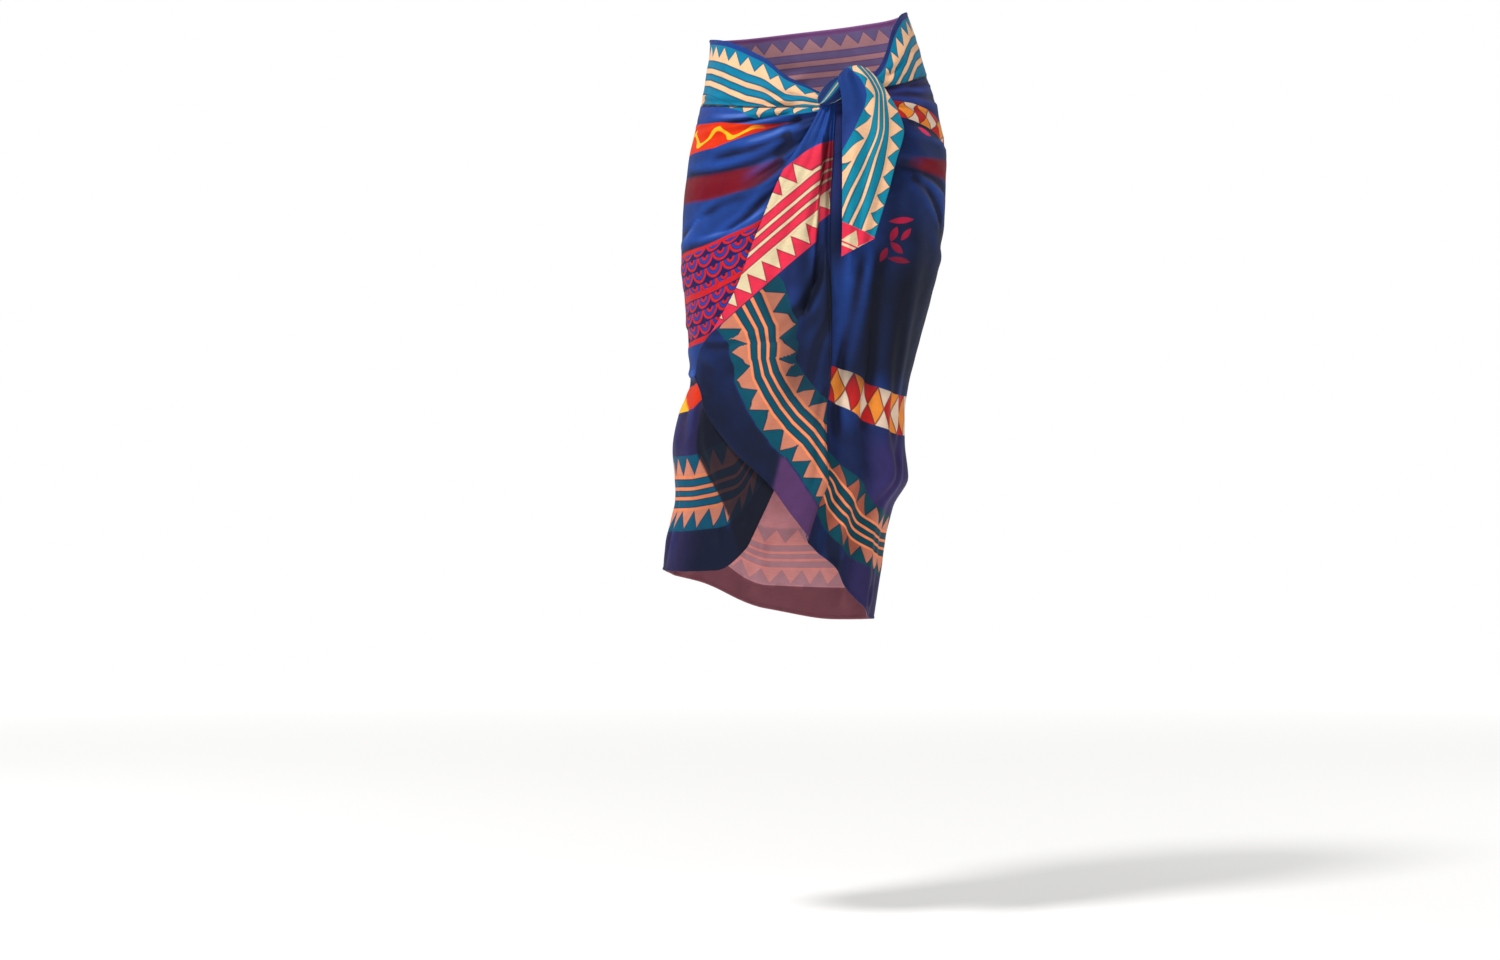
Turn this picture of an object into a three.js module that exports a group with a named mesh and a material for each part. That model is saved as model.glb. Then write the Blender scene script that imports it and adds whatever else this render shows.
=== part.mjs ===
// Wrap skirt: one rectangle of light printed cloth wound once round the hips and knotted in front.
// Millimetres, +Z up, the front faces -Y, +X is the wearer's left. The origin is the centre of the
// waist opening, where the wearer's body holds the knotted cloth.
import * as THREE from 'three';

const WALL = 1.6;             // cloth wall
const SEAM = 0.3;             // clearance between neighbouring stretches
const SIDE = 95;              // angle of the two side seams, from the front centre, degrees
const INNER_OUT = 3;          // middle of the inner layer, outside the figure
const LEDGE_OUT = INNER_OUT + WALL + SEAM + 0.1;  // foot of the pleat, lying on the cloth beside it
const LAP = 1.6;              // how far that cloth runs on under the pleat, degrees
const TURN_OUT = 8.8;         // cloth turned under at the folded edge of the drape
const ROLL = 2.6;             // radius of that folded edge
const DRAPE_OUT = TURN_OUT + 2 * ROLL;
const TURN_WIDTH = 24;        // width of the turned-under strip
const RAD = Math.PI / 180;
const FULLNESS = { front: 0.9, back: 0.78 };  // below 1, a section is flatter than an ellipse

// General hip and leg form under the cloth: half width, and depth to the front and to the back.
const FIGURE = [
  { z: -690, cx: -57, half: 124, cy: 14, front: 94, back: 106 },
  { z: -613, cx: -47, half: 126, cy: 14, front: 96, back: 108 },
  { z: -575, cx: -42, half: 126, cy: 13, front: 97, back: 108 },
  { z: -539, cx: -33, half: 126, cy: 12, front: 98, back: 109 },
  { z: -503, cx: -24, half: 135, cy: 12, front: 100, back: 110 },
  { z: -465, cx: -27, half: 134, cy: 12, front: 102, back: 111 },
  { z: -430, cx: -24, half: 130, cy: 11, front: 103, back: 112 },
  { z: -400, cx: -16, half: 126, cy: 10, front: 103, back: 113 },
  { z: -350, cx: -10, half: 132, cy: 10, front: 106, back: 118 },
  { z: -295, cx: -5, half: 142, cy: 10, front: 109, back: 124 },
  { z: -240, cx: -1, half: 150, cy: 10, front: 110, back: 128 },
  { z: -180, cx: 3, half: 151, cy: 8, front: 108, back: 128 },
  { z: -125, cx: 7, half: 148, cy: 6, front: 103, back: 122 },
  { z: -80, cx: 8, half: 139, cy: 4, front: 97, back: 113 },
  { z: -35, cx: 6, half: 128, cy: 2, front: 90, back: 101 },
  { z: 0, cx: 3, half: 120, cy: 0, front: 85, back: 91 },
  { z: 60, cx: -10, half: 113, cy: 0, front: 80, back: 82 },
];

// Wearer's right front: rows of the cloth run from the side seam to the knot, where they bunch up.
// down is the distance from the top edge along the side seam; relief is how far a row stands out.
const RIGHT_ANGLES = [-95, -60, -30, -15, -7, 0];
const RIGHT_FADE = [0, 0.5, 0.9, 1, 0.8, 0.2];
const RIGHT_ROWS = [
  { name: 'top edge', down: 0, relief: 0, z: [13, 6, -16, -41, -50, -59] },
  { name: 'border middle', down: 35, relief: 2.5, z: [-26, -32, -46, -60, -65, -69] },
  { name: 'border foot', down: 70, relief: -2.5, z: [-60, -66, -72, -74, -75, -76] },
  { name: 'first gather', down: 93, relief: 3, z: [-83, -85, -86, -84, -82, -80] },
  { name: 'second gather', down: 118, relief: -2.5, z: [-108, -105, -99, -94, -90, -86] },
  { name: 'third gather', down: 140, relief: 3, z: [-130, -124, -116, -108, -100, -92] },
  { name: 'red band top', down: 162, relief: -2, z: [-152, -151, -143, -130, -115, -98] },
  { name: 'red band foot', down: 194, relief: 2.5, z: [-184, -183, -171, -150, -130, -112] },
  { name: 'hip fold', down: 229, relief: -3, z: [-219, -220, -203, -172, -148, -128] },
  { name: 'panel top', down: 253, relief: 2, z: [-243, -236, -215, -193, -174, -156] },
  { name: 'panel middle', down: 308, relief: 0, z: [-298, -290, -266, -240, -219, -202] },
  { name: 'panel foot', down: 364, relief: 2, z: [-354, -346, -316, -286, -264, -248] },
  { name: 'thigh', down: 429, relief: -2, z: [-419, -410, -381, -348, -322, -302] },
  { name: 'border in', down: 491, relief: 2, z: [-481, -480, -460, -422, -378, -344] },
  { name: 'border out', down: 578, relief: 0, z: [-568, -567, -561, -512, -445, -390] },
  { name: 'hem', down: 623, relief: 0, z: [-613, -614, -612, -586, -510, -420] },
];

// Wearer's left front: rows run from the pleat line to the side seam.
const LEFT_SHARES = [0, 0.15, 0.3, 0.5, 0.7, 1];
const LEFT_FADE = [0, 0.5, 0.9, 0.9, 0.6, 0];
const LEFT_ROWS = [
  { name: 'top edge', down: 0, relief: 0, z: [-60, -48, -30, 19, 39, 46] },
  { name: 'border middle', down: 40, relief: 3, z: [-64, -54, -42, -15, 0, 6] },
  { name: 'border foot', down: 80, relief: -3, z: [-68, -60, -54, -48, -41, -34] },
  { name: 'first gather', down: 110, relief: 3, z: [-73, -67, -63, -62, -62, -64] },
  { name: 'diamond band', down: 146, relief: -2, z: [-82, -79, -78, -82, -90, -100] },
  { name: 'red band top', down: 178, relief: 3, z: [-112, -118, -124, -130, -132, -132] },
  { name: 'red band foot', down: 206, relief: -2.5, z: [-132, -136, -140, -148, -156, -160] },
  { name: 'hip fold', down: 240, relief: 2, z: [-164, -168, -172, -180, -190, -194] },
  { name: 'hip', down: 300, relief: 0, z: [-226, -229, -233, -241, -250, -254] },
  { name: 'thigh', down: 400, relief: 0, z: [-318, -324, -332, -344, -352, -354] },
  { name: 'lower thigh', down: 500, relief: 0, z: [-408, -418, -430, -446, -453, -454] },
  { name: 'border in', down: 590, relief: 0, z: [-486, -502, -518, -542, -554, -556] },
  { name: 'border out', down: 675, relief: 0, z: [-548, -568, -588, -618, -632, -635] },
  { name: 'hem', down: 718, relief: 0, z: [-577, -598, -620, -652, -668, -672] },
];

// Front drape: left end is the folded edge, right end is the pleat line, from the knot to the hem.
const DRAPE_ROWS = [
  { name: 'under knot', run: 0, fold: 2.5, foldZ: -68, pleat: 7.5, pleatZ: -68, out: 0.6 },
  { name: 'throat', run: 0.07, fold: -6, foldZ: -114, pleat: 6, pleatZ: -118, out: 0.92 },
  { name: 'red tip', run: 0.15, fold: -13, foldZ: -148, pleat: 6, pleatZ: -158, out: 1 },
  { name: 'red band', run: 0.3, fold: -22, foldZ: -217, pleat: 7, pleatZ: -230, out: 1 },
  { name: 'bend', run: 0.45, fold: -31, foldZ: -281, pleat: 11, pleatZ: -306, out: 1 },
  { name: 'teal start', run: 0.6, fold: -44, foldZ: -328, pleat: 15, pleatZ: -382, out: 1 },
  { name: 'teal border', run: 0.78, fold: -56, foldZ: -356, pleat: 18, pleatZ: -466, out: 1 },
  { name: 'border out', run: 0.9, fold: -60, foldZ: -374, pleat: 17.5, pleatZ: -532, out: 0.95 },
  { name: 'hem', run: 1, fold: -62, foldZ: -388, pleat: 16.5, pleatZ: -577, out: 0.9 },
];

// Falling folds: share of the row at the top and at the hem, half width, and depth at both ends.
const DRAPE_FOLDS = [
  { name: 'first trough', top: 0.42, low: 0.38, width: 0.1, topDepth: -2, lowDepth: -3 },
  { name: 'middle ridge', top: 0.6, low: 0.5, width: 0.1, topDepth: 2, lowDepth: 3 },
  { name: 'second trough', top: 0.76, low: 0.72, width: 0.08, topDepth: -3, lowDepth: -4 },
  { name: 'pleat ridge', top: 0.9, low: 0.91, width: 0.07, topDepth: 2, lowDepth: 4 },
];
const LEFT_FOLDS = [
  { name: 'pleat trough', top: 0.1, low: 0.1, width: 0.035, topDepth: -1, lowDepth: -3 },
  { name: 'front ridge', top: 0.18, low: 0.21, width: 0.06, topDepth: 2, lowDepth: 5 },
  { name: 'front trough', top: 0.3, low: 0.36, width: 0.07, topDepth: -2, lowDepth: -5 },
  { name: 'thigh ridge', top: 0.42, low: 0.55, width: 0.1, topDepth: 1, lowDepth: 5 },
  { name: 'side trough', top: 0.6, low: 0.76, width: 0.09, topDepth: 0, lowDepth: -3 },
];
const BACK_FOLDS = [
  { name: 'left side', top: 0.16, low: 0.14, width: 0.06, topDepth: 1, lowDepth: 4 },
  { name: 'left thigh', top: 0.3, low: 0.31, width: 0.07, topDepth: -1, lowDepth: -4 },
  { name: 'centre', top: 0.5, low: 0.48, width: 0.06, topDepth: -1, lowDepth: 4 },
  { name: 'right thigh', top: 0.68, low: 0.66, width: 0.07, topDepth: -1, lowDepth: -4 },
  { name: 'right side', top: 0.84, low: 0.83, width: 0.06, topDepth: 1, lowDepth: 4 },
];

// Back: top edge and hem by share of the way from the wearer's left seam to the right seam.
const BACK_SHARES = [0, 0.25, 0.5, 0.75, 1];
const BACK_TOP = [46, 40, 32, 21, 13];
const BACK_HEM = [-672, -675, -663, -629, -613];
const BACK_ROWS = [
  { name: 'top edge', run: 0, relief: 0 },
  { name: 'waist', run: 0.06, relief: 1.5 },
  { name: 'border foot', run: 0.115, relief: -2 },
  { name: 'first drag', run: 0.16, relief: 2 },
  { name: 'second drag', run: 0.2, relief: -1.5 },
  { name: 'seat', run: 0.28, relief: 3 },
  { name: 'seat foot', run: 0.4, relief: -3 },
  { name: 'thigh', run: 0.5, relief: 0 },
  { name: 'lower thigh', run: 0.68, relief: 0 },
  { name: 'border in', run: 0.82, relief: 0 },
  { name: 'border out', run: 0.94, relief: 0 },
  { name: 'hem', run: 1, relief: 0 },
];

// Knot: a slanting bundle of twisted cloth, half sizes along its length, across it and outward.
const KNOT = { angle: 9, z: -54, out: 14.1, slant: 36, long: 31, across: 11.5, deep: 8.2 };
const TWIST = { strands: 4, turns: 1.5, groove: 0.13, flat: 0.72, taper: 0.8 };
// Loose corner of the border: left and right end of each cross row, from behind the knot to the tip.
const TAIL_ROWS = [
  { name: 'root', leftX: 37, rightX: 60, leftZ: -37.5, rightZ: -34.5, leftY: -92, rightY: -86, bow: 0.5 },
  { name: 'rise', leftX: 34, rightX: 64, leftZ: -30, rightZ: -29, leftY: -102, rightY: -97, bow: 3 },
  { name: 'crest', leftX: 31, rightX: 68, leftZ: -31, rightZ: -31, leftY: -114, rightY: -109, bow: 5 },
  { name: 'brow', leftX: 28, rightX: 75, leftZ: -43, rightZ: -43, leftY: -119, rightY: -112, bow: 8 },
  { name: 'over knot', leftX: 31, rightX: 85, leftZ: -60, rightZ: -60, leftY: -120, rightY: -109, bow: 9 },
  { name: 'shoulder', leftX: 33, rightX: 98, leftZ: -82, rightZ: -82, leftY: -119, rightY: -100, bow: 9 },
  { name: 'widest', leftX: 33, rightX: 105, leftZ: -105, rightZ: -104, leftY: -116, rightY: -93, bow: 8 },
  { name: 'upper fall', leftX: 33, rightX: 96, leftZ: -140, rightZ: -138, leftY: -112, rightY: -93, bow: 7 },
  { name: 'middle fall', leftX: 33, rightX: 87, leftZ: -178, rightZ: -174, leftY: -112, rightY: -97, bow: 6 },
  { name: 'red corner', leftX: 33, rightX: 78, leftZ: -214, rightZ: -203, leftY: -113, rightY: -101, bow: 5 },
  { name: 'tip', leftX: 32, rightX: 70, leftZ: -250, rightZ: -229, leftY: -114, rightY: -104, bow: 3 },
];

const GRID = {
  right: { along: 22, down: 30 },
  left: { along: 22, down: 30 },
  back: { along: 26, down: 22 },
  drape: { along: 16, down: 24 },
  tail: { along: 8, down: 20 },
  knot: { around: 20, tube: 16 },
};

// Columns stand closer together towards the knot, where the rows bunch up.
const CROWDING = { right: 1.35, left: 1.15 };
const BACK_FADE = 0.16;       // share of the back, from each seam, over which its folds fade in

const CLOTH = { border: 0x12707f, navy: 0x1c2a6b, red: 0xc22a44 };

// Smooth curve through the points of a table that never overshoots between them.
function curve(xs, ys) {
  const last = xs.length - 1;
  const slope = [];
  for (let i = 0; i < last; i += 1) slope.push((ys[i + 1] - ys[i]) / (xs[i + 1] - xs[i]));
  const tangent = ys.map((_, i) => {
    if (i === 0) return slope[0];
    if (i === last) return slope[last - 1];
    const a = slope[i - 1];
    const b = slope[i];
    return a * b <= 0 ? 0 : (2 * a * b) / (a + b);
  });
  return (x) => {
    const at = Math.min(Math.max(x, xs[0]), xs[last]);
    let i = 0;
    while (i < last - 1 && at > xs[i + 1]) i += 1;
    const h = xs[i + 1] - xs[i];
    const t = (at - xs[i]) / h;
    const a = (1 + 2 * t) * (1 - t) ** 2;
    const b = t * (1 - t) ** 2;
    const c = t * t * (3 - 2 * t);
    const d = t * t * (t - 1);
    return a * ys[i] + b * h * tangent[i] + c * ys[i + 1] + d * h * tangent[i + 1];
  };
}

// One curve for each named column of a table, over the key column.
function columns(rows, key, names) {
  const ordered = [...rows].sort((a, b) => a[key] - b[key]);
  const at = ordered.map((row) => row[key]);
  const column = (name) => curve(at, ordered.map((row) => row[name]));
  return Object.fromEntries(names.map((name) => [name, column(name)]));
}

const FORM = columns(FIGURE, 'z', ['cx', 'half', 'cy', 'front', 'back']);

// Point at an angle and height, a distance outside the figure.
function onFigure(angle, z, out) {
  const side = Math.sin(angle * RAD);
  const ahead = Math.cos(angle * RAD);
  const depth = ahead > 0 ? FORM.front(z) : FORM.back(z);
  const fullness = ahead > 0 ? FULLNESS.front : FULLNESS.back;
  return new THREE.Vector3(
    FORM.cx(z) + (FORM.half(z) + out) * side,
    FORM.cy(z) - (depth + out) * Math.sign(ahead) * Math.abs(ahead) ** fullness,
    z,
  );
}

function foldRelief(folds, share, run) {
  return folds.reduce((sum, fold) => {
    const centre = fold.top + (fold.low - fold.top) * run;
    const depth = fold.topDepth + (fold.lowDepth - fold.topDepth) * run;
    return sum + depth * Math.exp(-(((share - centre) / fold.width) ** 2));
  }, 0);
}

function smooth(edge0, edge1, x) {
  const t = Math.min(Math.max((x - edge0) / (edge1 - edge0), 0), 1);
  return t * t * (3 - 2 * t);
}

// Table of rows whose heights are given at the same stations, as a surface z(station, down).
function rowSurface(rows, stations) {
  const down = rows.map((row) => row.down);
  const lines = stations.map((_, k) => curve(down, rows.map((row) => row.z[k])));
  return (station, at) => curve(stations, lines.map((line) => line(at)))(station);
}

// Closed shell of the wall's thickness about a grid of middle points.
function shell(grid) {
  const rows = grid.length;
  const cols = grid[0].length;
  const point = (j, i) => grid[Math.min(Math.max(j, 0), rows - 1)][Math.min(Math.max(i, 0), cols - 1)];
  const sides = [[], []];
  for (let j = 0; j < rows; j += 1) {
    for (let i = 0; i < cols; i += 1) {
      const along = point(j, i + 1).clone().sub(point(j, i - 1));
      const down = point(j + 1, i).clone().sub(point(j - 1, i));
      const normal = along.cross(down).normalize().multiplyScalar(WALL / 2);
      sides[0].push(point(j, i).clone().add(normal));
      sides[1].push(point(j, i).clone().sub(normal));
    }
  }
  const count = rows * cols;
  const index = [];
  const quad = (a, b, c, d) => index.push(a, b, c, a, c, d);
  const at = (j, i) => j * cols + i;
  for (let j = 0; j < rows - 1; j += 1) {
    for (let i = 0; i < cols - 1; i += 1) {
      quad(at(j, i), at(j, i + 1), at(j + 1, i + 1), at(j + 1, i));
      quad(count + at(j, i), count + at(j + 1, i), count + at(j + 1, i + 1), count + at(j, i + 1));
    }
  }
  const rim = [];
  for (let i = 0; i < cols - 1; i += 1) rim.push(at(0, i));
  for (let j = 0; j < rows - 1; j += 1) rim.push(at(j, cols - 1));
  for (let i = cols - 1; i > 0; i -= 1) rim.push(at(rows - 1, i));
  for (let j = rows - 1; j > 0; j -= 1) rim.push(at(j, 0));
  rim.forEach((a, k) => {
    const b = rim[(k + 1) % rim.length];
    quad(b, a, count + a, count + b);
  });
  return solid([...sides[0], ...sides[1]], index);
}

// Geometry from points and triangles, turned so that its faces look outward.
function solid(points, index) {
  let volume = 0;
  for (let k = 0; k < index.length; k += 3) {
    const [a, b, c] = [points[index[k]], points[index[k + 1]], points[index[k + 2]]];
    volume += a.dot(b.clone().cross(c));
  }
  if (volume < 0) {
    for (let k = 0; k < index.length; k += 3) [index[k + 1], index[k + 2]] = [index[k + 2], index[k + 1]];
  }
  const geometry = new THREE.BufferGeometry().setFromPoints(points);
  geometry.setIndex(index);
  geometry.computeVertexNormals();
  return geometry;
}

function grid(down, along, place) {
  const rows = [];
  for (let j = 0; j <= down; j += 1) {
    const row = [];
    for (let i = 0; i <= along; i += 1) row.push(place(j / down, i / along));
    rows.push(row);
  }
  return rows;
}

// Angle of an edge moved by half of the seam's clearance.
const seamAngle = (z) => (SEAM / 2) / FORM.front(z) / RAD;

function rightFront() {
  const height = rowSurface(RIGHT_ROWS, RIGHT_ANGLES);
  const relief = columns(RIGHT_ROWS, 'down', ['relief']).relief;
  const fade = curve(RIGHT_ANGLES, RIGHT_FADE);
  const length = RIGHT_ROWS[RIGHT_ROWS.length - 1].down;
  return grid(GRID.right.down, GRID.right.along, (v, u) => {
    const share = 1 - (1 - u) ** CROWDING.right;
    const angle = -SIDE + SIDE * share;
    const z = height(angle, v * length);
    const shift = u === 0 ? seamAngle(z) : 0;
    return onFigure(angle + shift, z, INNER_OUT + relief(v * length) * fade(angle));
  });
}

// Angle of the pleat line at a height; both stretches that meet there end on it.
const PLEAT = columns(DRAPE_ROWS, 'pleatZ', ['pleat']).pleat;

function leftFront() {
  const height = rowSurface(LEFT_ROWS, LEFT_SHARES);
  const relief = columns(LEFT_ROWS, 'down', ['relief']).relief;
  const fade = curve(LEFT_SHARES, LEFT_FADE);
  const length = LEFT_ROWS[LEFT_ROWS.length - 1].down;
  return grid(GRID.left.down, GRID.left.along, (v, u) => {
    const share = u ** CROWDING.left;
    const z = height(share, v * length);
    const start = PLEAT(height(0, v * length)) - LAP;
    const shift = u === 1 ? -seamAngle(z) : 0;
    const out = relief(v * length) * fade(share) + foldRelief(LEFT_FOLDS, share, v);
    return onFigure(start + (SIDE - start) * share + shift, z, INNER_OUT + out);
  });
}

// Columns of the drape: the strip turned under, the rolled edge, the broad face, the pleat's drop.
const DRAPE_STRIP = 2;
const DRAPE_ROLL = 4;
const DRAPE_DROP = [2.6, 1.9, 1.3, 0.6, 0];      // degrees left of the pleat line
const DRAPE_DROP_LEVEL = [1, 0.8, 0.35, 0, 0];   // how much of the drape's height is left there
const DRAPE_NARROW = 0.45;    // the strip and the drop take up at most this share of a row's width
const DRAPE_SPREAD = 0.25;    // rows stand further apart towards the hem, by this much

function frontDrape() {
  const row = columns(DRAPE_ROWS, 'run', ['fold', 'foldZ', 'pleatZ', 'out']);
  const rows = [];
  for (let j = 0; j <= GRID.drape.down; j += 1) {
    const v = j / GRID.drape.down;
    const run = (1 - DRAPE_SPREAD) * v + DRAPE_SPREAD * v * v;
    const fold = row.fold(run);
    const foldZ = row.foldZ(run);
    const pleatZ = row.pleatZ(run);
    const pleat = PLEAT(pleatZ);
    const width = pleat - fold;
    const top = DRAPE_OUT * row.out(run);
    const under = TURN_OUT * row.out(run);
    const roll = (top - under) / 2;
    const degree = FORM.half(foldZ) * RAD;
    const strip = Math.min(TURN_WIDTH / degree, DRAPE_NARROW * width);
    const squeeze = Math.min(1, (DRAPE_NARROW * width) / DRAPE_DROP[0]);
    const at = (angle, out) => {
      const share = Math.max((angle - fold) / width, 0);
      return onFigure(angle, foldZ + (pleatZ - foldZ) * share, out);
    };
    const points = [];
    for (let i = DRAPE_STRIP; i > 0; i -= 1) points.push(at(fold + (strip * i) / DRAPE_STRIP, under));
    for (let i = 0; i <= DRAPE_ROLL; i += 1) {
      const turn = (Math.PI * i) / DRAPE_ROLL;
      points.push(at(fold - (roll * Math.sin(turn)) / degree, under + roll * (1 - Math.cos(turn))));
    }
    const broad = width - DRAPE_DROP[0] * squeeze;
    const count = GRID.drape.along - DRAPE_DROP.length;
    for (let i = 1; i < count; i += 1) {
      const angle = fold + (broad * i) / count;
      points.push(at(angle, top + foldRelief(DRAPE_FOLDS, (angle - fold) / width, run) * row.out(run)));
    }
    DRAPE_DROP.forEach((left, i) => {
      const angle = pleat - left * squeeze;
      const raised = top + foldRelief(DRAPE_FOLDS, (angle - fold) / width, run) * row.out(run);
      points.push(at(angle, LEDGE_OUT + (raised - LEDGE_OUT) * DRAPE_DROP_LEVEL[i]));
    });
    rows.push(points);
  }
  return rows;
}

function back() {
  const top = curve(BACK_SHARES, BACK_TOP);
  const hem = curve(BACK_SHARES, BACK_HEM);
  const relief = columns(BACK_ROWS, 'run', ['relief']).relief;
  return grid(GRID.back.down, GRID.back.along, (v, u) => {
    const shift = (u === 0 ? seamAngle(0) : 0) - (u === 1 ? seamAngle(0) : 0);
    const z = top(u) + (hem(u) - top(u)) * v;
    const middle = smooth(0, BACK_FADE, u) * smooth(0, BACK_FADE, 1 - u);
    const out = INNER_OUT + (relief(v) + foldRelief(BACK_FOLDS, u, v)) * middle;
    return onFigure(SIDE + (360 - 2 * SIDE) * u + shift, z, out);
  });
}

function tail() {
  const names = ['leftX', 'rightX', 'leftZ', 'rightZ', 'leftY', 'rightY', 'bow'];
  const rows = TAIL_ROWS.map((row, k) => ({ ...row, step: k / (TAIL_ROWS.length - 1) }));
  const row = columns(rows, 'step', names);
  const mix = (a, b, u) => a + (b - a) * u;
  return grid(GRID.tail.down, GRID.tail.along, (v, u) => new THREE.Vector3(
    mix(row.leftX(v), row.rightX(v), u),
    mix(row.leftY(v), row.rightY(v), u) - row.bow(v) * Math.sin(Math.PI * u),
    mix(row.leftZ(v), row.rightZ(v), u),
  ));
}

// Bundle with pointed ends: strands wind along it, and its back is flattened against the cloth.
function knot() {
  const { around, tube } = GRID.knot;
  const degree = (FORM.half(KNOT.z) + KNOT.out) * RAD;
  const place = (along, across, outward) => {
    const x = along * Math.cos(KNOT.slant * RAD) - across * Math.sin(KNOT.slant * RAD);
    const z = along * Math.sin(KNOT.slant * RAD) + across * Math.cos(KNOT.slant * RAD);
    return onFigure(KNOT.angle + x / degree, KNOT.z + z, KNOT.out + outward);
  };
  const points = [place(-KNOT.long, 0, 0)];
  const index = [];
  for (let j = 1; j < around; j += 1) {
    const t = j / around;
    const along = -Math.cos(Math.PI * t);
    const girth = Math.sin(Math.PI * t) ** TWIST.taper;
    for (let i = 0; i < tube; i += 1) {
      const roll = (2 * Math.PI * i) / tube;
      const wave = Math.abs(Math.sin((TWIST.strands * roll) / 2 + Math.PI * TWIST.turns * t));
      const radius = girth * (1 - TWIST.groove * (1 - wave));
      const outward = Math.sin(roll) * (Math.sin(roll) < 0 ? TWIST.flat : 1);
      points.push(place(KNOT.long * along, KNOT.across * radius * Math.cos(roll), KNOT.deep * radius * outward));
    }
  }
  points.push(place(KNOT.long, 0, 0));
  const at = (j, i) => 1 + (j - 1) * tube + (i % tube);
  for (let i = 0; i < tube; i += 1) {
    index.push(0, at(1, i), at(1, i + 1));
    for (let j = 1; j < around - 1; j += 1) {
      index.push(at(j, i), at(j + 1, i), at(j + 1, i + 1));
      index.push(at(j, i), at(j + 1, i + 1), at(j, i + 1));
    }
    index.push(at(around - 1, i), points.length - 1, at(around - 1, i + 1));
  }
  return solid(points, index);
}

const group = new THREE.Group();

function add(name, geometry, color) {
  const material = new THREE.MeshStandardMaterial({ color, roughness: 0.8, metalness: 0 });
  const mesh = new THREE.Mesh(geometry, material);
  mesh.name = name;
  group.add(mesh);
}

add('right_front_wrap', shell(rightFront()), CLOTH.navy);
add('left_front_wrap', shell(leftFront()), CLOTH.navy);
add('back_wrap', shell(back()), CLOTH.navy);
add('front_drape', shell(frontDrape()), CLOTH.red);
add('knot', knot(), CLOTH.border);
add('border_tail', shell(tail()), CLOTH.border);

export default group;
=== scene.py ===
"""Wrap skirt: printed voile, wound round the hips and knotted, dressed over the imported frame.

Lengths in the tables are millimetres in the frame: +Z up, the front faces -Y, +X is the wearer's
left. Angles are degrees round the figure from the front centre, positive to the wearer's left.
"""

import bpy
import numpy as np
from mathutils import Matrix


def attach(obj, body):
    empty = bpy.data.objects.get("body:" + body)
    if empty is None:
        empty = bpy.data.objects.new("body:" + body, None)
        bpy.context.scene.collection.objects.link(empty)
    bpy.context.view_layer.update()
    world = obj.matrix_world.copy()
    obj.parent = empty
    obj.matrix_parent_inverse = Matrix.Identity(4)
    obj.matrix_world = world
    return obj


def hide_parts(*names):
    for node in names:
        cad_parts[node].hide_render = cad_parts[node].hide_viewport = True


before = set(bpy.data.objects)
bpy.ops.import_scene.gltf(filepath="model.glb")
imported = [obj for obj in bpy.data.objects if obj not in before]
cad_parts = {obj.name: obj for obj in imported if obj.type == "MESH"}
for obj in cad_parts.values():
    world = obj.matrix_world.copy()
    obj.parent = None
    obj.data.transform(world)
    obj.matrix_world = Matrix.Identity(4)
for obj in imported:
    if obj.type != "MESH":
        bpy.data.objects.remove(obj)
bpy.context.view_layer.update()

MM = 0.001
SIDE = 95.0               # angle of the two side seams
INNER_OUT = 3.0           # middle of the cloth, outside the figure
LEDGE_OUT = 5.0           # foot of the pleat, on the cloth beside it
LAP = 1.6                 # how far that cloth runs on under the pleat, degrees
LAP_LIFT = 4.0            # how much its corner is drawn up there, so that it stays hidden
TURN_OUT = 8.8            # cloth turned under at the folded edge of the drape
ROLL = 2.6                # radius of that folded edge
DRAPE_OUT = TURN_OUT + 2 * ROLL
TURN_WIDTH = 24.0         # width of the turned-under strip
SHELF_DROP = 6.5          # the narrow fold between the red border and the pleat lies this much lower
SHELF_LIFT = 15.0         # and the red border's foot lies this much higher on it
FULLNESS_FRONT = 0.9      # below 1, a section is squarer than an ellipse
FULLNESS_BACK = 0.78
CLOTH = 0.7               # thickness of the cloth, as seen
HEM_ROLL = 1.7            # bulge of the rolled hem
HEM_WIDTH = 3.5
ARC = 2.4                 # millimetres round the hips to a degree, for the creases
GLINT_TRAIL = 2.2         # a painted highlight line fades this much more slowly on its lower side
CREASE_SHADE_RANGE = (-3, 4)     # depth and height up to which a crease adds painted shade in its trough and painted highlight on its lip

# ---------------- the figure and the cloth's rows

FIGURE = [  # z, middle x, half width, middle y, depth in front, depth behind
    (-690, -57, 124, 14, 94, 106), (-613, -47, 126, 14, 96, 108), (-575, -42, 126, 13, 97, 108),
    (-539, -33, 126, 12, 98, 109), (-503, -24, 135, 12, 100, 110), (-465, -27, 134, 12, 102, 111),
    (-430, -24, 130, 11, 103, 112), (-400, -16, 126, 10, 103, 113), (-350, -10, 132, 10, 106, 118),
    (-295, -5, 142, 10, 109, 124), (-240, -1, 150, 10, 110, 128), (-180, 3, 151, 8, 108, 128),
    (-125, 7, 148, 6, 103, 122), (-80, 8, 139, 4, 97, 113), (-35, 6, 128, 2, 90, 101),
    (0, 3, 120, 0, 85, 91), (60, -10, 113, 0, 80, 82),
]

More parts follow.
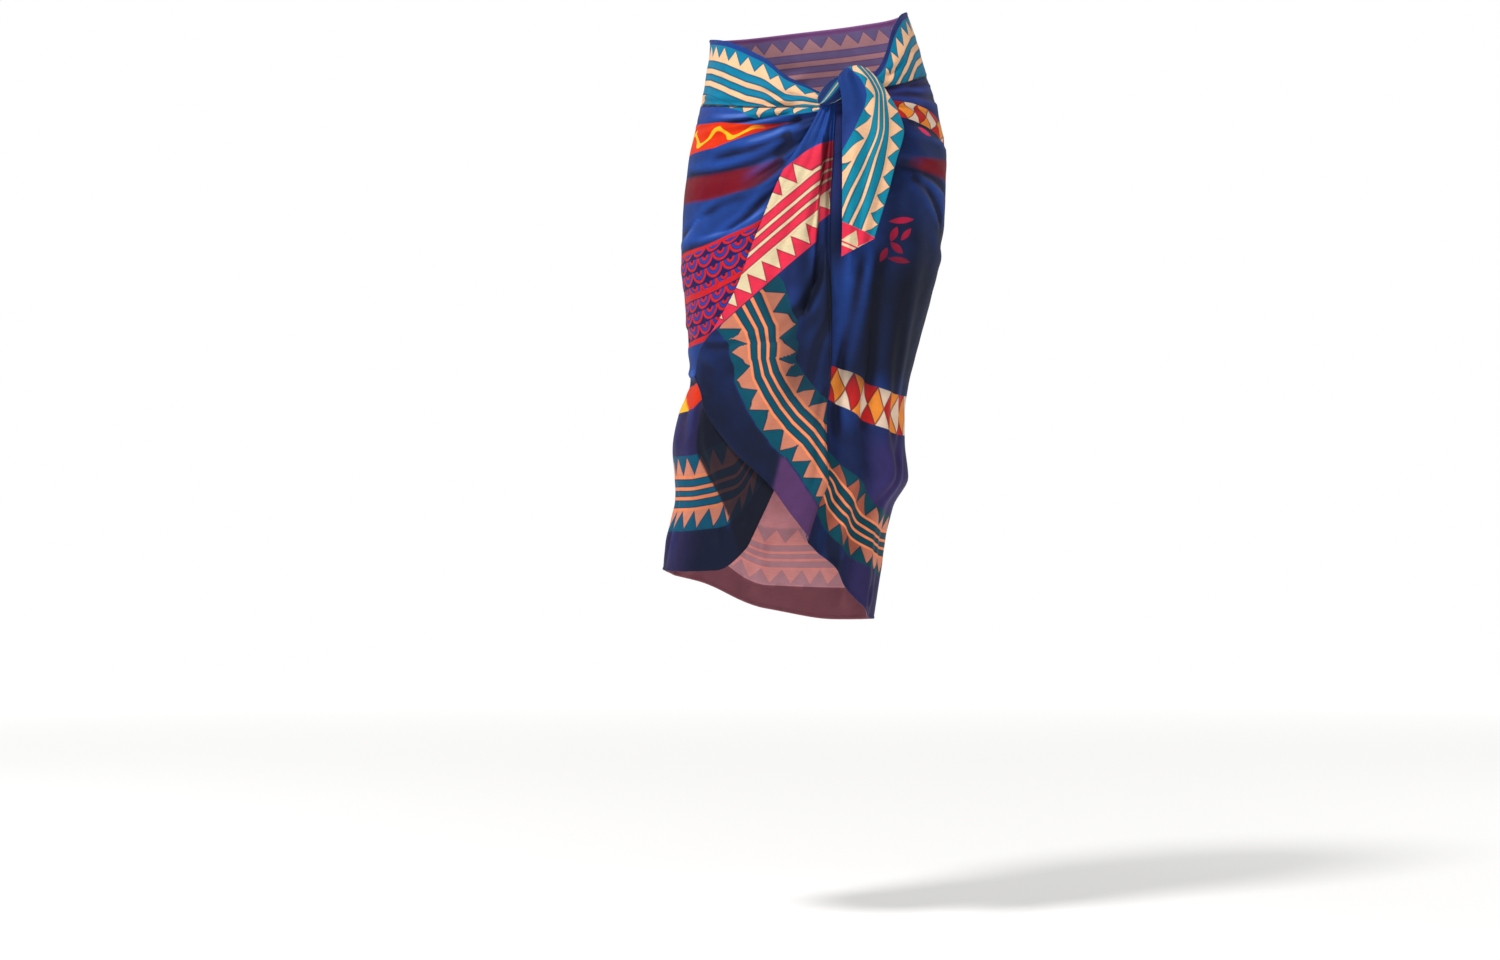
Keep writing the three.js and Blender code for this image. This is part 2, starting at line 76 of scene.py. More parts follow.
# Places across the right front, and how much of a row's relief shows at each.
RIGHT_ANGLES = [-95, -60, -30, -15, -7, 0]
RIGHT_FADE = [0, 0.5, 0.9, 1, 0.8, 0.2]
RIGHT_ROWS = [  # name, distance down the side seam, relief, heights at RIGHT_ANGLES
    ("top edge", 0, 0, (13, 6, -16, -41, -50, -59)),
    ("border middle", 35, 2.5, (-26, -32, -46, -60, -65, -69)),
    ("border foot", 70, -2.5, (-60, -66, -72, -74, -75, -76)),
    ("first gather", 93, 3, (-83, -85, -86, -84, -82, -80)),
    ("second gather", 118, -2.5, (-108, -105, -99, -94, -90, -86)),
    ("third gather", 140, 3, (-130, -124, -116, -108, -100, -92)),
    ("red band top", 162, -2, (-152, -151, -143, -130, -115, -98)),
    ("red band foot", 194, 2.5, (-184, -183, -171, -150, -130, -112)),
    ("hip fold", 229, -3, (-219, -220, -203, -172, -148, -128)),
    ("panel top", 253, 2, (-243, -236, -215, -193, -174, -156)),
    ("panel middle", 308, 0, (-298, -290, -266, -240, -219, -202)),
    ("panel foot", 364, 2, (-354, -346, -316, -286, -264, -248)),
    ("thigh", 429, -2, (-419, -410, -381, -348, -322, -302)),
    ("border in", 491, 2, (-481, -480, -460, -422, -378, -344)),
    ("border out", 578, 0, (-568, -567, -561, -512, -445, -390)),
    ("hem", 623, 0, (-613, -614, -612, -586, -510, -420)),
]

# The same on the left front, as shares of the way from the pleat to the side seam.
LEFT_SHARES = [0, 0.15, 0.3, 0.5, 0.7, 1]
LEFT_FADE = [0, 0.5, 0.9, 0.9, 0.6, 0]
LEFT_ROWS = [  # name, distance down the side seam, relief, heights at LEFT_SHARES
    ("top edge", 0, 0, (-60, -48, -30, 19, 39, 46)),
    ("border middle", 40, 3, (-64, -54, -42, -15, 0, 6)),
    ("border foot", 80, -3, (-68, -60, -54, -48, -41, -34)),
    ("first gather", 110, 3, (-73, -67, -63, -62, -62, -64)),
    ("diamond band", 146, -2, (-82, -79, -78, -82, -90, -100)),
    ("red band top", 178, 3, (-112, -118, -124, -130, -132, -132)),
    ("red band foot", 206, -2.5, (-132, -136, -140, -148, -156, -160)),
    ("hip fold", 240, 2, (-164, -168, -172, -180, -190, -194)),
    ("hip", 300, 0, (-226, -229, -233, -241, -250, -254)),
    ("thigh", 400, 0, (-318, -324, -332, -344, -352, -354)),
    ("lower thigh", 500, 0, (-408, -418, -430, -446, -453, -454)),
    ("border in", 590, 0, (-486, -502, -518, -542, -554, -556)),
    ("border out", 675, 0, (-548, -568, -588, -618, -632, -635)),
    ("hem", 718, 0, (-577, -598, -620, -652, -668, -672)),
]

DRAPE_ROWS = [  # name, run, folded edge's angle and height, pleat's angle and height, share of out
    ("under knot", 0, 2.5, -68, 7.5, -68, 0.6),
    ("throat", 0.07, -6, -114, 6, -118, 0.92),
    ("red tip", 0.15, -13, -148, 6, -158, 1),
    ("red band", 0.3, -22, -217, 7, -230, 1),
    ("bend", 0.45, -31, -281, 11, -306, 1),
    ("teal start", 0.6, -44, -328, 15, -382, 1),
    ("teal border", 0.78, -56, -356, 18, -466, 1),
    ("border out", 0.9, -60, -374, 17.5, -532, 0.95),
    ("hem", 1, -62, -388, 16.5, -577, 0.9),
]

# Falling folds: share of the row at the top and at the hem, half width, depth at the top and hem.
DRAPE_FOLDS = [
    ("first trough", 0.42, 0.38, 0.1, -2, -3),
    ("middle ridge", 0.6, 0.5, 0.1, 2, 3),
    ("second trough", 0.76, 0.72, 0.08, -3, -4),
    ("pleat ridge", 0.9, 0.91, 0.07, 2, 4),
]
LEFT_FOLDS = [
    ("pleat trough", 0.1, 0.1, 0.035, -1, -3),
    ("front ridge", 0.18, 0.21, 0.06, 2, 5),
    ("front trough", 0.3, 0.36, 0.07, -2, -5),
    ("thigh ridge", 0.42, 0.55, 0.1, 1, 5),
    ("side trough", 0.6, 0.76, 0.09, 0, -3),
]
BACK_FOLDS = [
    ("left side", 0.16, 0.14, 0.06, 1, 4),
    ("left thigh", 0.3, 0.31, 0.07, -1, -4),
    ("centre", 0.5, 0.48, 0.06, -1, 4),
    ("right thigh", 0.68, 0.66, 0.07, -1, -4),
    ("right side", 0.84, 0.83, 0.06, 1, 4),
]

# Shares of the way round the back from the left seam, and heights of its top edge and hem.
BACK_SHARES = [0, 0.25, 0.5, 0.75, 1]
BACK_TOP = [46, 40, 32, 21, 13]
BACK_HEM = [-672, -675, -663, -629, -613]
BACK_ROWS = [  # run, relief
    (0, 0), (0.06, 1.5), (0.115, -2), (0.16, 2), (0.2, -1.5), (0.28, 3), (0.4, -3), (0.5, 0), (1, 0),
]

# The knot: a bundle of twisted strands. Its groove and flat back are shares of its radius.
KNOT_ANGLE, KNOT_Z, KNOT_OUT, KNOT_SLANT = 9.0, -54.0, 14.1, 36.0
KNOT_LONG, KNOT_ACROSS, KNOT_DEEP = 31.0, 11.5, 8.2
KNOT_STRANDS, KNOT_TURNS, KNOT_GROOVE, KNOT_FLAT = 4, 1.5, 0.2, 0.72
KNOT_RINGS, KNOT_SIDES = 96, 72

TAIL_ROWS = [  # left x, right x, left z, right z, left y, right y, bow towards the viewer
    (37, 60, -37.5, -34.5, -92, -86, 0.5),
    (34, 64, -30, -29, -102, -97, 3),
    (31, 68, -31, -31, -114, -109, 5),
    (28, 75, -43, -43, -119, -112, 8),
    (31, 85, -60, -60, -120, -109, 9),
    (33, 98, -82, -82, -119, -100, 9),
    (33, 105, -105, -104, -116, -93, 8),
    (33, 96, -140, -138, -112, -93, 7),
    (33, 87, -178, -174, -112, -97, 6),
    (33, 78, -214, -203, -113, -101, 5),
    (32, 70, -250, -229, -114, -104, 3),
]


def tangents(xs, ys):
    """Slopes at the knots of a curve that never overshoots; the knots are on the last axis."""
    slope = np.diff(ys) / np.diff(xs)
    made = np.empty_like(ys)
    made[..., 0], made[..., -1] = slope[..., 0], slope[..., -1]
    before, after = slope[..., :-1], slope[..., 1:]
    total = np.where(before + after == 0, 1, before + after)
    made[..., 1:-1] = np.where(before * after > 0, 2 * before * after / total, 0)
    return made


def curve(xs, ys, at):
    """The smooth curve through (xs, ys) at the points at; ys may hold one curve for each row of at."""
    xs = np.asarray(xs, float)
    ys = np.broadcast_to(np.asarray(ys, float), at.shape[:-1] + (len(xs),))
    made = tangents(xs, ys)
    at = np.clip(at, xs[0], xs[-1])
    i = np.clip(np.searchsorted(xs, at, side="right") - 1, 0, len(xs) - 2)
    h = xs[i + 1] - xs[i]
    t = (at - xs[i]) / h

    def pick(values, k):
        return np.take_along_axis(values, k, axis=-1)

    start = (1 + 2 * t) * (1 - t) ** 2 * pick(ys, i) + t * (1 - t) ** 2 * h * pick(made, i)
    end = t * t * (3 - 2 * t) * pick(ys, i + 1) + t * t * (t - 1) * h * pick(made, i + 1)
    return start + end


def column(rows, key, value, at):
    """A smooth curve through two columns of a table."""
    pairs = sorted((row[key], row[value]) for row in rows)
    return curve([p[0] for p in pairs], [p[1] for p in pairs], at)


def smooth(low, high, x):
    """Eases from 0 at low to 1 at high; low may be the larger one."""
    t = np.clip((x - low) / (high - low), 0, 1)
    return t * t * (3 - 2 * t)


def ends(low, high, x):
    """The same in from 0 and out again before 1."""
    return smooth(low, high, x) * smooth(low, high, 1 - x)


def on_figure(angle, z, out):
    """Points at an angle and height, a distance outside the figure, in millimetres."""
    middle_x, half, middle_y, front, behind = (column(FIGURE, 0, k, z) for k in range(1, 6))
    side, ahead = np.sin(np.radians(angle)), np.cos(np.radians(angle))
    depth = np.where(ahead > 0, front, behind)
    full = np.where(ahead > 0, FULLNESS_FRONT, FULLNESS_BACK)
    y = middle_y - (depth + out) * np.sign(ahead) * np.abs(ahead) ** full
    return np.stack([middle_x + (half + out) * side, y, z], axis=-1)


def bell(x, width):
    return np.exp(-((x / width) ** 2))


def blend(start, end, share):
    return start + (end - start) * share


def fold_relief(folds, share, run):
    total = np.zeros_like(share)
    for _, top, low, width, top_depth, low_depth in folds:
        total += blend(top_depth, low_depth, run) * bell(share - blend(top, low, run), width)
    return total


def row_heights(rows, stations, station, down):
    """Heights of a table of rows at each station and distance down."""
    downs = [row[1] for row in rows]
    lines = [curve(downs, [row[3][k] for row in rows], down[:, :1]) for k in range(len(stations))]
    return curve(stations, np.concatenate(lines, axis=1), station)


# ---------------- listed creases

# name, path as (angle, z), half width, depth at the path's start, depth at its end
RIGHT_CREASES = [
    ("waist fold", [(-94, -60), (-60, -66), (-30, -72), (-8, -75)], 3.5, 2.2, 4.5),
    ("waist fold, upper", [(-88, -28), (-55, -42), (-25, -58), (-8, -66)], 4, 0.6, 3.6),
    ("gather 1", [(-90, -96), (-60, -94), (-35, -90), (-10, -82)], 3, 2.0, 4.5),
    ("under waist, upper", [(-90, -86), (-60, -89), (-30, -87), (-8, -79)], 2.8, 1.4, 2.4),
    ("under waist, lower", [(-72, -103), (-48, -101), (-26, -94), (-8, -85)], 2.8, 1.2, 2.4),
    ("gather 2", [(-82, -112), (-45, -106), (-20, -97), (-8, -88)], 4.5, 1.2, 3.9),
    ("gather 3", [(-55, -134), (-30, -122), (-12, -104)], 5, 0.6, 4.2),
    ("gather 4", [(-86, -150), (-48, -150), (-22, -132), (-11, -112)], 6, 1.8, 3.3),
    ("gather 5", [(-60, -178), (-32, -166), (-15, -136)], 6, 0.4, 4.2),
    ("hip highlight", [(-88, -222), (-66, -210), (-46, -188), (-30, -178)], 4.5, 2.4, 0.6),
    ("hip highlight, lower", [(-60, -238), (-46, -226), (-32, -204), (-19, -172)], 4.5, 1.2, 2.2),
    ("hip trough", [(-92, -246), (-70, -240), (-48, -226)], 8, 3.0, 0.6),
    ("panel drag", [(-90, -300), (-66, -296), (-44, -272)], 11, 2.4, 0.9),
    ("panel drag, lower", [(-88, -338), (-70, -340), (-56, -322)], 8, 2.7, 1.2),
    ("side notch", [(-96, -390), (-80, -394), (-64, -392)], 6, 6.0, 2.0),
    ("thigh hollow", [(-84, -392), (-72, -424), (-64, -470)], 12, 3.0, 1.5),
    ("thigh trough", [(-60, -400), (-50, -470), (-38, -540), (-30, -590)], 10, 1.2, 3.9),
    ("knee trough", [(-80, -500), (-76, -560), (-78, -610)], 9, 0.6, 3.3),
    ("inner thigh", [(-34, -470), (-24, -520), (-18, -560)], 8, 0.8, 3.0),
]
# Painted highlights: thin bright lines on the right front, along a fold's edge.
RIGHT_PAINTED_GLINTS = [
    ("under waist", [(-66, -78), (-45, -84), (-27, -87), (-9, -84)], 2.2, 0.6),
    ("under wedge", [(-40, -124), (-25, -111), (-16, -102), (-8, -96)], 2.4, 0.9),
    ("hip, short", [(-80, -226), (-70, -214), (-62, -204), (-50, -196)], 2.2, 1.0),
    ("hip, long", [(-70, -228), (-43, -220), (-34, -210), (-25, -196), (-14, -168)], 2.2, 1.3),
]
LEFT_CREASES = [
    ("band fold", [(94, -32), (66, -44), (46, -50), (34, -54)], 3.5, 1.4, 4.1),
    ("band fold, upper", [(90, 10), (64, -4), (48, -24), (36, -40)], 4, 0.9, 3.8),
    ("hip fold 1", [(92, -60), (70, -59), (48, -59), (33, -60)], 4, 1.7, 3.8),
    ("hip fold 2", [(90, -84), (66, -76), (46, -72), (32, -70)], 4.5, 0.9, 2.9),
    ("under diamonds", [(92, -116), (74, -104), (56, -94), (40, -90)], 5, 3.8, 2.6),
    ("hip highlight 1", [(86, -170), (68, -156), (52, -146), (38, -140)], 6, 3.5, 1.4),
    ("hip highlight 2", [(78, -208), (66, -184), (54, -164), (44, -154)], 6, 3.2, 1.2),
    ("hip drag", [(92, -236), (80, -222), (66, -200)], 9, 2.6, 0.7),
    ("front trough 1", [(22, -236), (22, -300), (20, -380), (24, -460)], 6, 2.3, 1.7),
    ("front trough 2", [(31, -230), (33, -300), (38, -380), (40, -450)], 9, 1.4, 3.5),
    ("front trough 3", [(48, -250), (52, -330), (60, -420), (62, -500)], 11, 0.9, 3.8),
    ("knee fold", [(76, -430), (66, -480), (58, -520), (44, -560)], 8, 2.3, 2.9),
    ("hem flute 1", [(32, -520), (30, -570), (33, -604)], 7, 0.7, 3.8),
    ("hem flute 2", [(60, -560), (64, -610), (66, -660)], 8, 0.7, 3.8),
]
DRAPE_CREASES = [
    ("shelf foot", [(4.5, -236), (3.6, -262), (1.5, -290), (-2, -318)], 4.5, 4.0, 5.0),
    ("edge crease", [(-3, -112), (-15, -180), (-27, -256), (-42, -322)], 4, 1.6, 1.2),
    ("red trough", [(2, -118), (-4, -180), (-12, -240), (-20, -300)], 4.5, 2.2, 0.8),
    ("knot ray 1", [(4, -92), (3, -140), (0, -190), (-2, -236)], 3, 1.8, 1.8),
    ("bend valley", [(5, -270), (-2, -302), (-11, -335), (-24, -352)], 6, 2.6, 2.0),
    ("pleat valley", [(9, -262), (10, -317), (6, -350), (4, -400)], 5, 2.2, 1.6),
    ("border kink", [(-54, -350), (-40, -352), (-25, -346), (-6, -352)], 4.5, 2.4, 2.0),
    ("border dip", [(-36, -376), (-22, -396), (-8, -430)], 7, 1.4, 1.2),
    ("pleat throat", [(13, -396), (12.5, -440), (12, -480), (9, -520)], 4.5, 1.8, 3.0),
    ("hem slack", [(-58, -372), (-40, -420), (-20, -468), (4, -520)], 9, 0.7, 0.6),
    ("corner dimple", [(-60, -366), (-52, -376), (-44, -380)], 6, 1.6, 0.6),
]
BACK_CREASES = [
    ("waist drag 1", [(262, -30), (236, -36), (205, -30), (182, -22)], 5, 2.4, 2.7),
    ("waist drag 2", [(98, -20), (124, -34), (152, -36), (172, -30)], 5, 2.4, 2.7),
    ("seat drag 1", [(262, -150), (238, -128), (214, -118), (196, -122)], 9, 3.4, 2.0),
    ("seat drag 2", [(98, -140), (122, -122), (148, -116), (166, -122)], 9, 3.4, 2.0),
    ("under seat 1", [(252, -262), (230, -282), (206, -292), (188, -286)], 10, 2.7, 3.9),
    ("under seat 2", [(108, -250), (132, -276), (156, -290), (174, -286)], 10, 2.7, 3.9),
    ("centre fall", [(180, -250), (183, -380), (186, -520), (188, -650)], 10, 2.4, 5.8),
    ("left fall", [(140, -300), (136, -430), (134, -560), (132, -664)], 11, 1.5, 5.8),
    ("right fall", [(222, -300), (226, -430), (230, -560), (232, -626)], 11, 1.5, 5.8),
    ("side fall, right", [(250, -380), (249, -480), (251, -600)], 9, 3.2, 3.9),
    ("side fall, left", [(112, -380), (110, -500), (108, -650)], 9, 3.2, 3.9),
]


def soften(path, steps=8):
    """A rounded path through given points."""
    p = np.array([path[0], *path, path[-1]], float)
    made = []
    for k in range(1, len(p) - 2):
        for t in np.arange(steps) / steps:
            a, b, c, d = p[k - 1], p[k], p[k + 1], p[k + 2]
            made.append(0.5 * (2 * b + (c - a) * t + (2 * a - 5 * b + 4 * c - d) * t * t
                               + (3 * b - a - 3 * c + d) * t ** 3))
    made.append(p[-2])
    return np.array(made)


def nearest(x, z, path):
    """Distance to a path, positive on its left, and the place along it, counted in its points."""
    best = np.full(x.shape, np.inf)
    signed, place = np.zeros_like(x), np.zeros_like(x)
    for k, (a, b) in enumerate(zip(path[:-1], path[1:])):
        step = np.array(b, float) - a
        dx, dz = x - a[0], z - a[1]
        t = np.clip((dx * step[0] + dz * step[1]) / step.dot(step), 0, 1)
        gap = np.hypot(dx - t * step[0], dz - t * step[1])
        side = np.where(step[0] * dz < step[1] * dx, -1, 1)
        near = gap < best - 1e-6
        best = np.where(near, gap, best)
        signed = np.where(near, gap * side, signed)
        place = np.where(near, k + t, place)
    return signed, place


def from_path(path, angle, z):
    """Distance from a line drawn on the cloth, positive above it, and the share along it."""
    points = soften(path) * [ARC, 1]
    signed, place = nearest(angle * ARC, z, points)
    return signed, place / (len(points) - 1)


def painted_glint_share(lines, angle, z):
    """Painted highlight lines that swell towards their middle and fade above faster than below."""
    total = np.zeros_like(z)
    for _, path, width, strength in lines:
        signed, along = from_path(path, angle, z)
        reach = np.where(signed > 0, 1, GLINT_TRAIL) * width
        total += strength * ends(0, 0.3, along) * bell(signed, reach)
    return total


def crease_relief(creases, angle, z):
    """Soft troughs with a raised lip on the upper side, uneven along their length."""
    total = np.zeros_like(z)
    for number, (_, path, width, start, end) in enumerate(creases):
        signed, along = from_path(path, angle, z)
        uneven = 1 + 0.28 * np.sin(7.3 * along + number) + 0.16 * np.sin(17.0 * along + 2 * number)
        depth = blend(start, end, along) * uneven * ends(-0.02, 0.16, along)
        lips = 0.55 * bell(signed - 1.6 * width, width) + 0.3 * bell(signed + 1.9 * width, 1.2 * width)
        total += depth * (lips - bell(signed, width))
    return total


def ripple(x, y, seed, size):
    """Small uneven swell of about the given size."""
    draw = np.random.default_rng(seed)
    total = np.zeros_like(x)
    for _ in range(7):
        way = draw.uniform(0, np.pi)
        wave = 2 * np.pi / (size * draw.uniform(0.7, 1.8))
        total += np.sin(wave * (x * np.cos(way) + y * np.sin(way)) + draw.uniform(0, 6.28))
    return total / 7


def gathers(x, seed, pitch):
    """Fine uneven gathers across a coordinate."""
    draw = np.random.default_rng(seed)
    total = np.zeros_like(x)
    for _ in range(4):
        total += np.sin(2 * np.pi * x / (pitch * draw.uniform(0.75, 1.7)) + draw.uniform(0, 6.28))
    return total / 4


def swell(angle, z, seed, high, size, fine_high=0.35, fine_size=22):
    """Uneven swell of the cloth, broad and fine."""
    x = angle * ARC
    return high * ripple(x, z, seed, size) + fine_high * ripple(x, z, seed + 1, fine_size)


# ---------------- print layout

BORDER = 88.0             # width of the printed border
# The border along the waist: distances below the top edge, then the distance across it at each.
TOP_PRINT = ((0, 6, 21, 36.5, 51, 66, 100), (-9, 0, 24.5, 38.5, 50, 62, 90))
# Angles, then the scale of that border at each: it narrows towards the knot.
RIGHT_SQUEEZE = ((-70, -50, -38, -17, -8, 0), (1, 1.1, 1.1, 0.9, 0.6, 0.4))
LEFT_SQUEEZE = ((14, 26, 40, 52, 66, 95), (0.7, 1, 1.3, 1.35, 1.15, 1))
WAIST_FOLD = 74.0         # distance below the top edge at which the cloth folds under
FOLD_HALF = 1.7           # half width of the painted shade line there
FOLD_FADE = 8.0           # degrees over which it starts, and its distance from the side seam
TUCK_AWAY = 8.0           # degrees from the side seam at which the border's inner part is tucked away
TUCK_SLANT = 1.1          # and degrees more for each millimetre above the fold
PITCH = 22.0              # printed triangles, one to another
RIGHT_BORDER_OUT = 578.0  # outer edge of the lower border on the right front, down the side seam
# Heights of the lower border's edges on the left front, at shares of the way from pleat to side.
LEFT_BORDER_IN = (-468, -496, -515, -538, -547, -549)
LEFT_BORDER_OUT = (-540, -570, -590, -607, -616, -622)
# Harlequin bands on the left front: upper and lower edges.
HIP_BAND_TOP = (-52, -58, -66, -69, -76, -106)
HIP_BAND_LOW = (-78, -80, -83, -89, -98, -128)
THIGH_BAND_TOP = (-374, -382, -394, -404, -408, -409)
THIGH_BAND_LOW = (-412, -424, -437, -448, -454, -455)
BAND_HEIGHT = 44.0
RIGHT_BAND = (409, 441)   # the same band on the right, by distance down the side seam
PANEL_ROWS = (253, 364)   # red panel, the same way
PANEL_REACH = 108.0       # how far the panel and the orange wedge run on round the back
WEDGE_REACH = 120.0
# The same on the back, from the left seam to the right seam.
BACK_BORDER_IN = (-549, -560, -566, -520, -481)
BACK_BORDER_OUT = (-622, -636, -634, -590, -568)
BACK_HIP_TOP = (-106, -104, -102, -100, -99)
BACK_HIP_LOW = (-128, -130, -131, -130, -128)
BACK_THIGH_TOP = (-409, -406, -402, -399, -399)
BACK_THIGH_LOW = (-455, -450, -444, -436, -431)
BACK_RED_TOP = (-132, -136, -142, -148, -152)
BACK_RED_LOW = (-160, -166, -172, -180, -184)

# Teal border on the drape, in the plane of the front: outer x, z and inner x, z of each station.
DRAPE_BORDER = [
    (-112, -331, -41, -271), (-105, -341, -32, -292), (-95, -353, -26, -311), (-88, -367, -27, -332),
    (-87, -383, -28, -352), (-88, -400, -19, -371), (-80, -416, -9, -390), (-70, -433, 2, -406),
    (-56, -452, 14, -420), (-37, -470, 32, -438), (-22, -491, 47, -458), (-9, -512, 60, -478),
    (10, -540, 79, -506),
]
# Lower edge of the red border on the drape, in the same plane; the border lies above it.
RED_FOOT = [(40, -202), (5, -231), (-41, -270), (-112, -331), (-190, -398)]

# Border on the loose corner: height, then x where the border distance is each of TAIL_MARKS.
TAIL_MARKS = [0, 25, 39, 50, 64, 88]
TAIL_PRINT = [
    (-251, 62, 48, 28, 14, -2, -29), (-214, 75, 60, 42, 28, 13, -16), (-180, 86, 72, 58, 41, 28, 2),
    (-140, 96, 84, 70, 61, 45, 26), (-99, 105, 88, 81, 75, 65, 49), (-65, 90, 84, 80, 75, 70, 61),
    (-48, 84, 78, 73, 68, 63, 55), (-32, 72, 66, 61, 55, 49, 39),
]
TAIL_CORNER = [(20, -204), (34, -210), (59, -221), (80, -233)]


def across_strip(shares, share, z, start, end, width=BAND_HEIGHT):
    """Distance across a printed strip, whose two edges are given by their heights at the shares."""
    start, end = curve(shares, start, share), curve(shares, end, share)
    return width * (z - start) / (end - start)


def top_border(below):
    return np.interp(below, *TOP_PRINT)


def distance_down(points):
    """Distance from the first point, at each point of a path or down each column of a grid."""
    steps = np.linalg.norm(np.diff(points, axis=0), axis=-1)
    return np.concatenate([np.zeros_like(steps[:1]), np.cumsum(steps, axis=0)])


def distance_along(points):
    """The same along each row of a grid."""
    return distance_down(points.swapaxes(0, 1)).T


def below_top(angle, z):
    """How far each point lies below the grid's first row, and the distance along that row."""
    along = distance_down(np.stack([angle[0] * ARC, z[0]], axis=-1))
    return np.interp(angle, angle[0], z[0]) - z, np.interp(angle, angle[0], along)


def under_fold(row, away, sliver):
    """Border distance below the waist fold. Away from the side seam the cloth runs on under the fold,
    so that the rest of the border hides there, all but a sliver near the knot."""
    hidden = smooth(2, 20, away) * smooth(sliver + 36, sliver, away)
    return top_border(row) + 9 * hidden * np.clip(row - WAIST_FOLD, 0, None)


def signed_to_path(x, z, path):
    """Distance to a path, positive on its left, and the distance along it."""
    signed, place = nearest(x, z, path)
    return signed, np.interp(place, range(len(path)), distance_down(np.array(path, float)))


def strip_coordinates(x, z, stations):
    """Border distance and the distance along a border given by its two edges."""
    s = np.array(stations, float)
    middle = (s[:, :2] + s[:, 2:]) / 2
    _, along = signed_to_path(x, z, middle)
    edges = [np.interp(along, distance_down(middle), s[:, k]) for k in range(4)]
    ax, az = edges[2] - edges[0], edges[3] - edges[1]
    across = ((x - edges[0]) * ax + (z - edges[1]) * az) / (ax * ax + az * az)
    return across * BORDER, along


# ---------------- cloth as a mesh

def spaced(count, fine):
    """Shares from 0 to 1, closer together near both ends so that the rolled hem stays round."""
    near = np.array([0, 0.35, 0.8, 1.4]) * fine
    return np.concatenate([near, np.linspace(2.2 * fine, 1 - 2.2 * fine, count), 1 - near[::-1]])


def shares(down, along, fine_down=0.004, fine_along=0.006):
    """Grids of the shares down and along a piece."""
    return np.meshgrid(spaced(down, fine_down), spaced(along, fine_along), indexing="ij")


def unit_normals(points):
    along = np.gradient(points, axis=1)
    down = np.gradient(points, axis=0)
    normal = np.cross(along, down)
    return normal / np.maximum(np.linalg.norm(normal, axis=2, keepdims=True), 1e-9)


def hem_thickness(points, hems):
    """Thickness of the cloth over its grid: a rolled hem along each edge named in hems."""
    thick = np.full(points.shape[:2], CLOTH)
    from_left, from_top = distance_along(points), distance_down(points)
    away = {"left": from_left, "right": from_left[:, -1:] - from_left,
            "top": from_top, "foot": from_top[-1:] - from_top}
    for hem in hems:
        t = np.clip(away[hem] / HEM_WIDTH, 0, 1)
        roll = np.sqrt(np.clip(1 - (2 * t - 1) ** 2, 0, 1))
        thick = np.maximum(thick, np.where(t < 1, 0.5 * CLOTH + HEM_ROLL * roll, 0))
    return thick


def add(name, data):
    made = bpy.data.objects.new(name, data)
    bpy.context.scene.collection.objects.link(made)
    return made


def mesh_piece(name, points, faces, marks, material, flat=0):
    """A mesh with three numbers a point under each mark; its last few faces are shaded flat."""
    mesh = bpy.data.meshes.new(name)
    mesh.from_pydata((points * MM).tolist(), [], faces)
    mesh.polygons.foreach_set("use_smooth", np.arange(len(faces)) < len(faces) - flat)
    for mark, values in marks.items():
        columns = np.broadcast_arrays(*values, points[:, 0])[:3]
        attribute = mesh.attributes.new(mark, "FLOAT_VECTOR", "POINT")
        attribute.data.foreach_set("vector", np.stack(columns, axis=-1).ravel())
    mesh.materials.append(material)
    mesh.update()
    return add(name, mesh)


def cloth_piece(name, points, marks, material, hems=()):
    """A closed thin mesh about a grid of middle points, carrying its print coordinates. The mark
    "cloth" ends in 0 on the outer side and 1 on the inner."""
    rows, cols = points.shape[:2]
    normal = unit_normals(points)
    half = (hem_thickness(points, hems) / 2)[..., None] * normal
    outer, inner = points - half, points + half
    if np.mean(normal[..., 1] * points[..., 1]) > 0:
        outer, inner = inner, outer
    at = np.arange(rows * cols).reshape(rows, cols)
    a, b, c, d = at[:-1, :-1], at[:-1, 1:], at[1:, 1:], at[1:, :-1]
    front = np.stack([a, d, c, b], axis=-1).reshape(-1, 4)
    behind = np.stack([a, b, c, d], axis=-1).reshape(-1, 4) + rows * cols
    ring = np.concatenate([at[0, :-1], at[:-1, -1], at[-1, :0:-1], at[:0:-1, 0]])
    after = np.roll(ring, -1)
    rim = np.stack([ring, after, after + rows * cols, ring + rows * cols], axis=-1)
    verts = np.concatenate([outer.reshape(-1, 3), inner.reshape(-1, 3)])
    faces = np.concatenate([front, behind, rim])
    if signed_volume(verts, faces) < 0:
        faces = faces[:, ::-1]
    both = {}
    for mark, values in marks.items():
        grids = np.broadcast_arrays(*values, points[..., 0])[:3]
        both[mark] = [np.tile(grid.ravel(), 2) for grid in grids]
    both["cloth"][2] = np.repeat([0.0, 1.0], rows * cols)
    return mesh_piece(name, verts, faces.tolist(), both, material, len(rim))


def signed_volume(verts, faces):
    a, b, c, d = (verts[faces[:, k]] for k in range(4))
    return np.sum(a * np.cross(b, c)) + np.sum(a * np.cross(c, d))


# ---------------- print as nodes

def linear(colour):
    """Scene-linear colour from 0-255 values as they look on a screen."""
    c = np.array(colour, float) / 255
    made = np.where(c <= 0.04045, c / 12.92, ((c + 0.055) / 1.055) ** 2.4)
    return (*made.tolist(), 1.0)


def by_node(operation):
    """A method that is one node of arithmetic."""
    def method(term, *others):
        return term.ink.math(operation, term, *others)
    return method


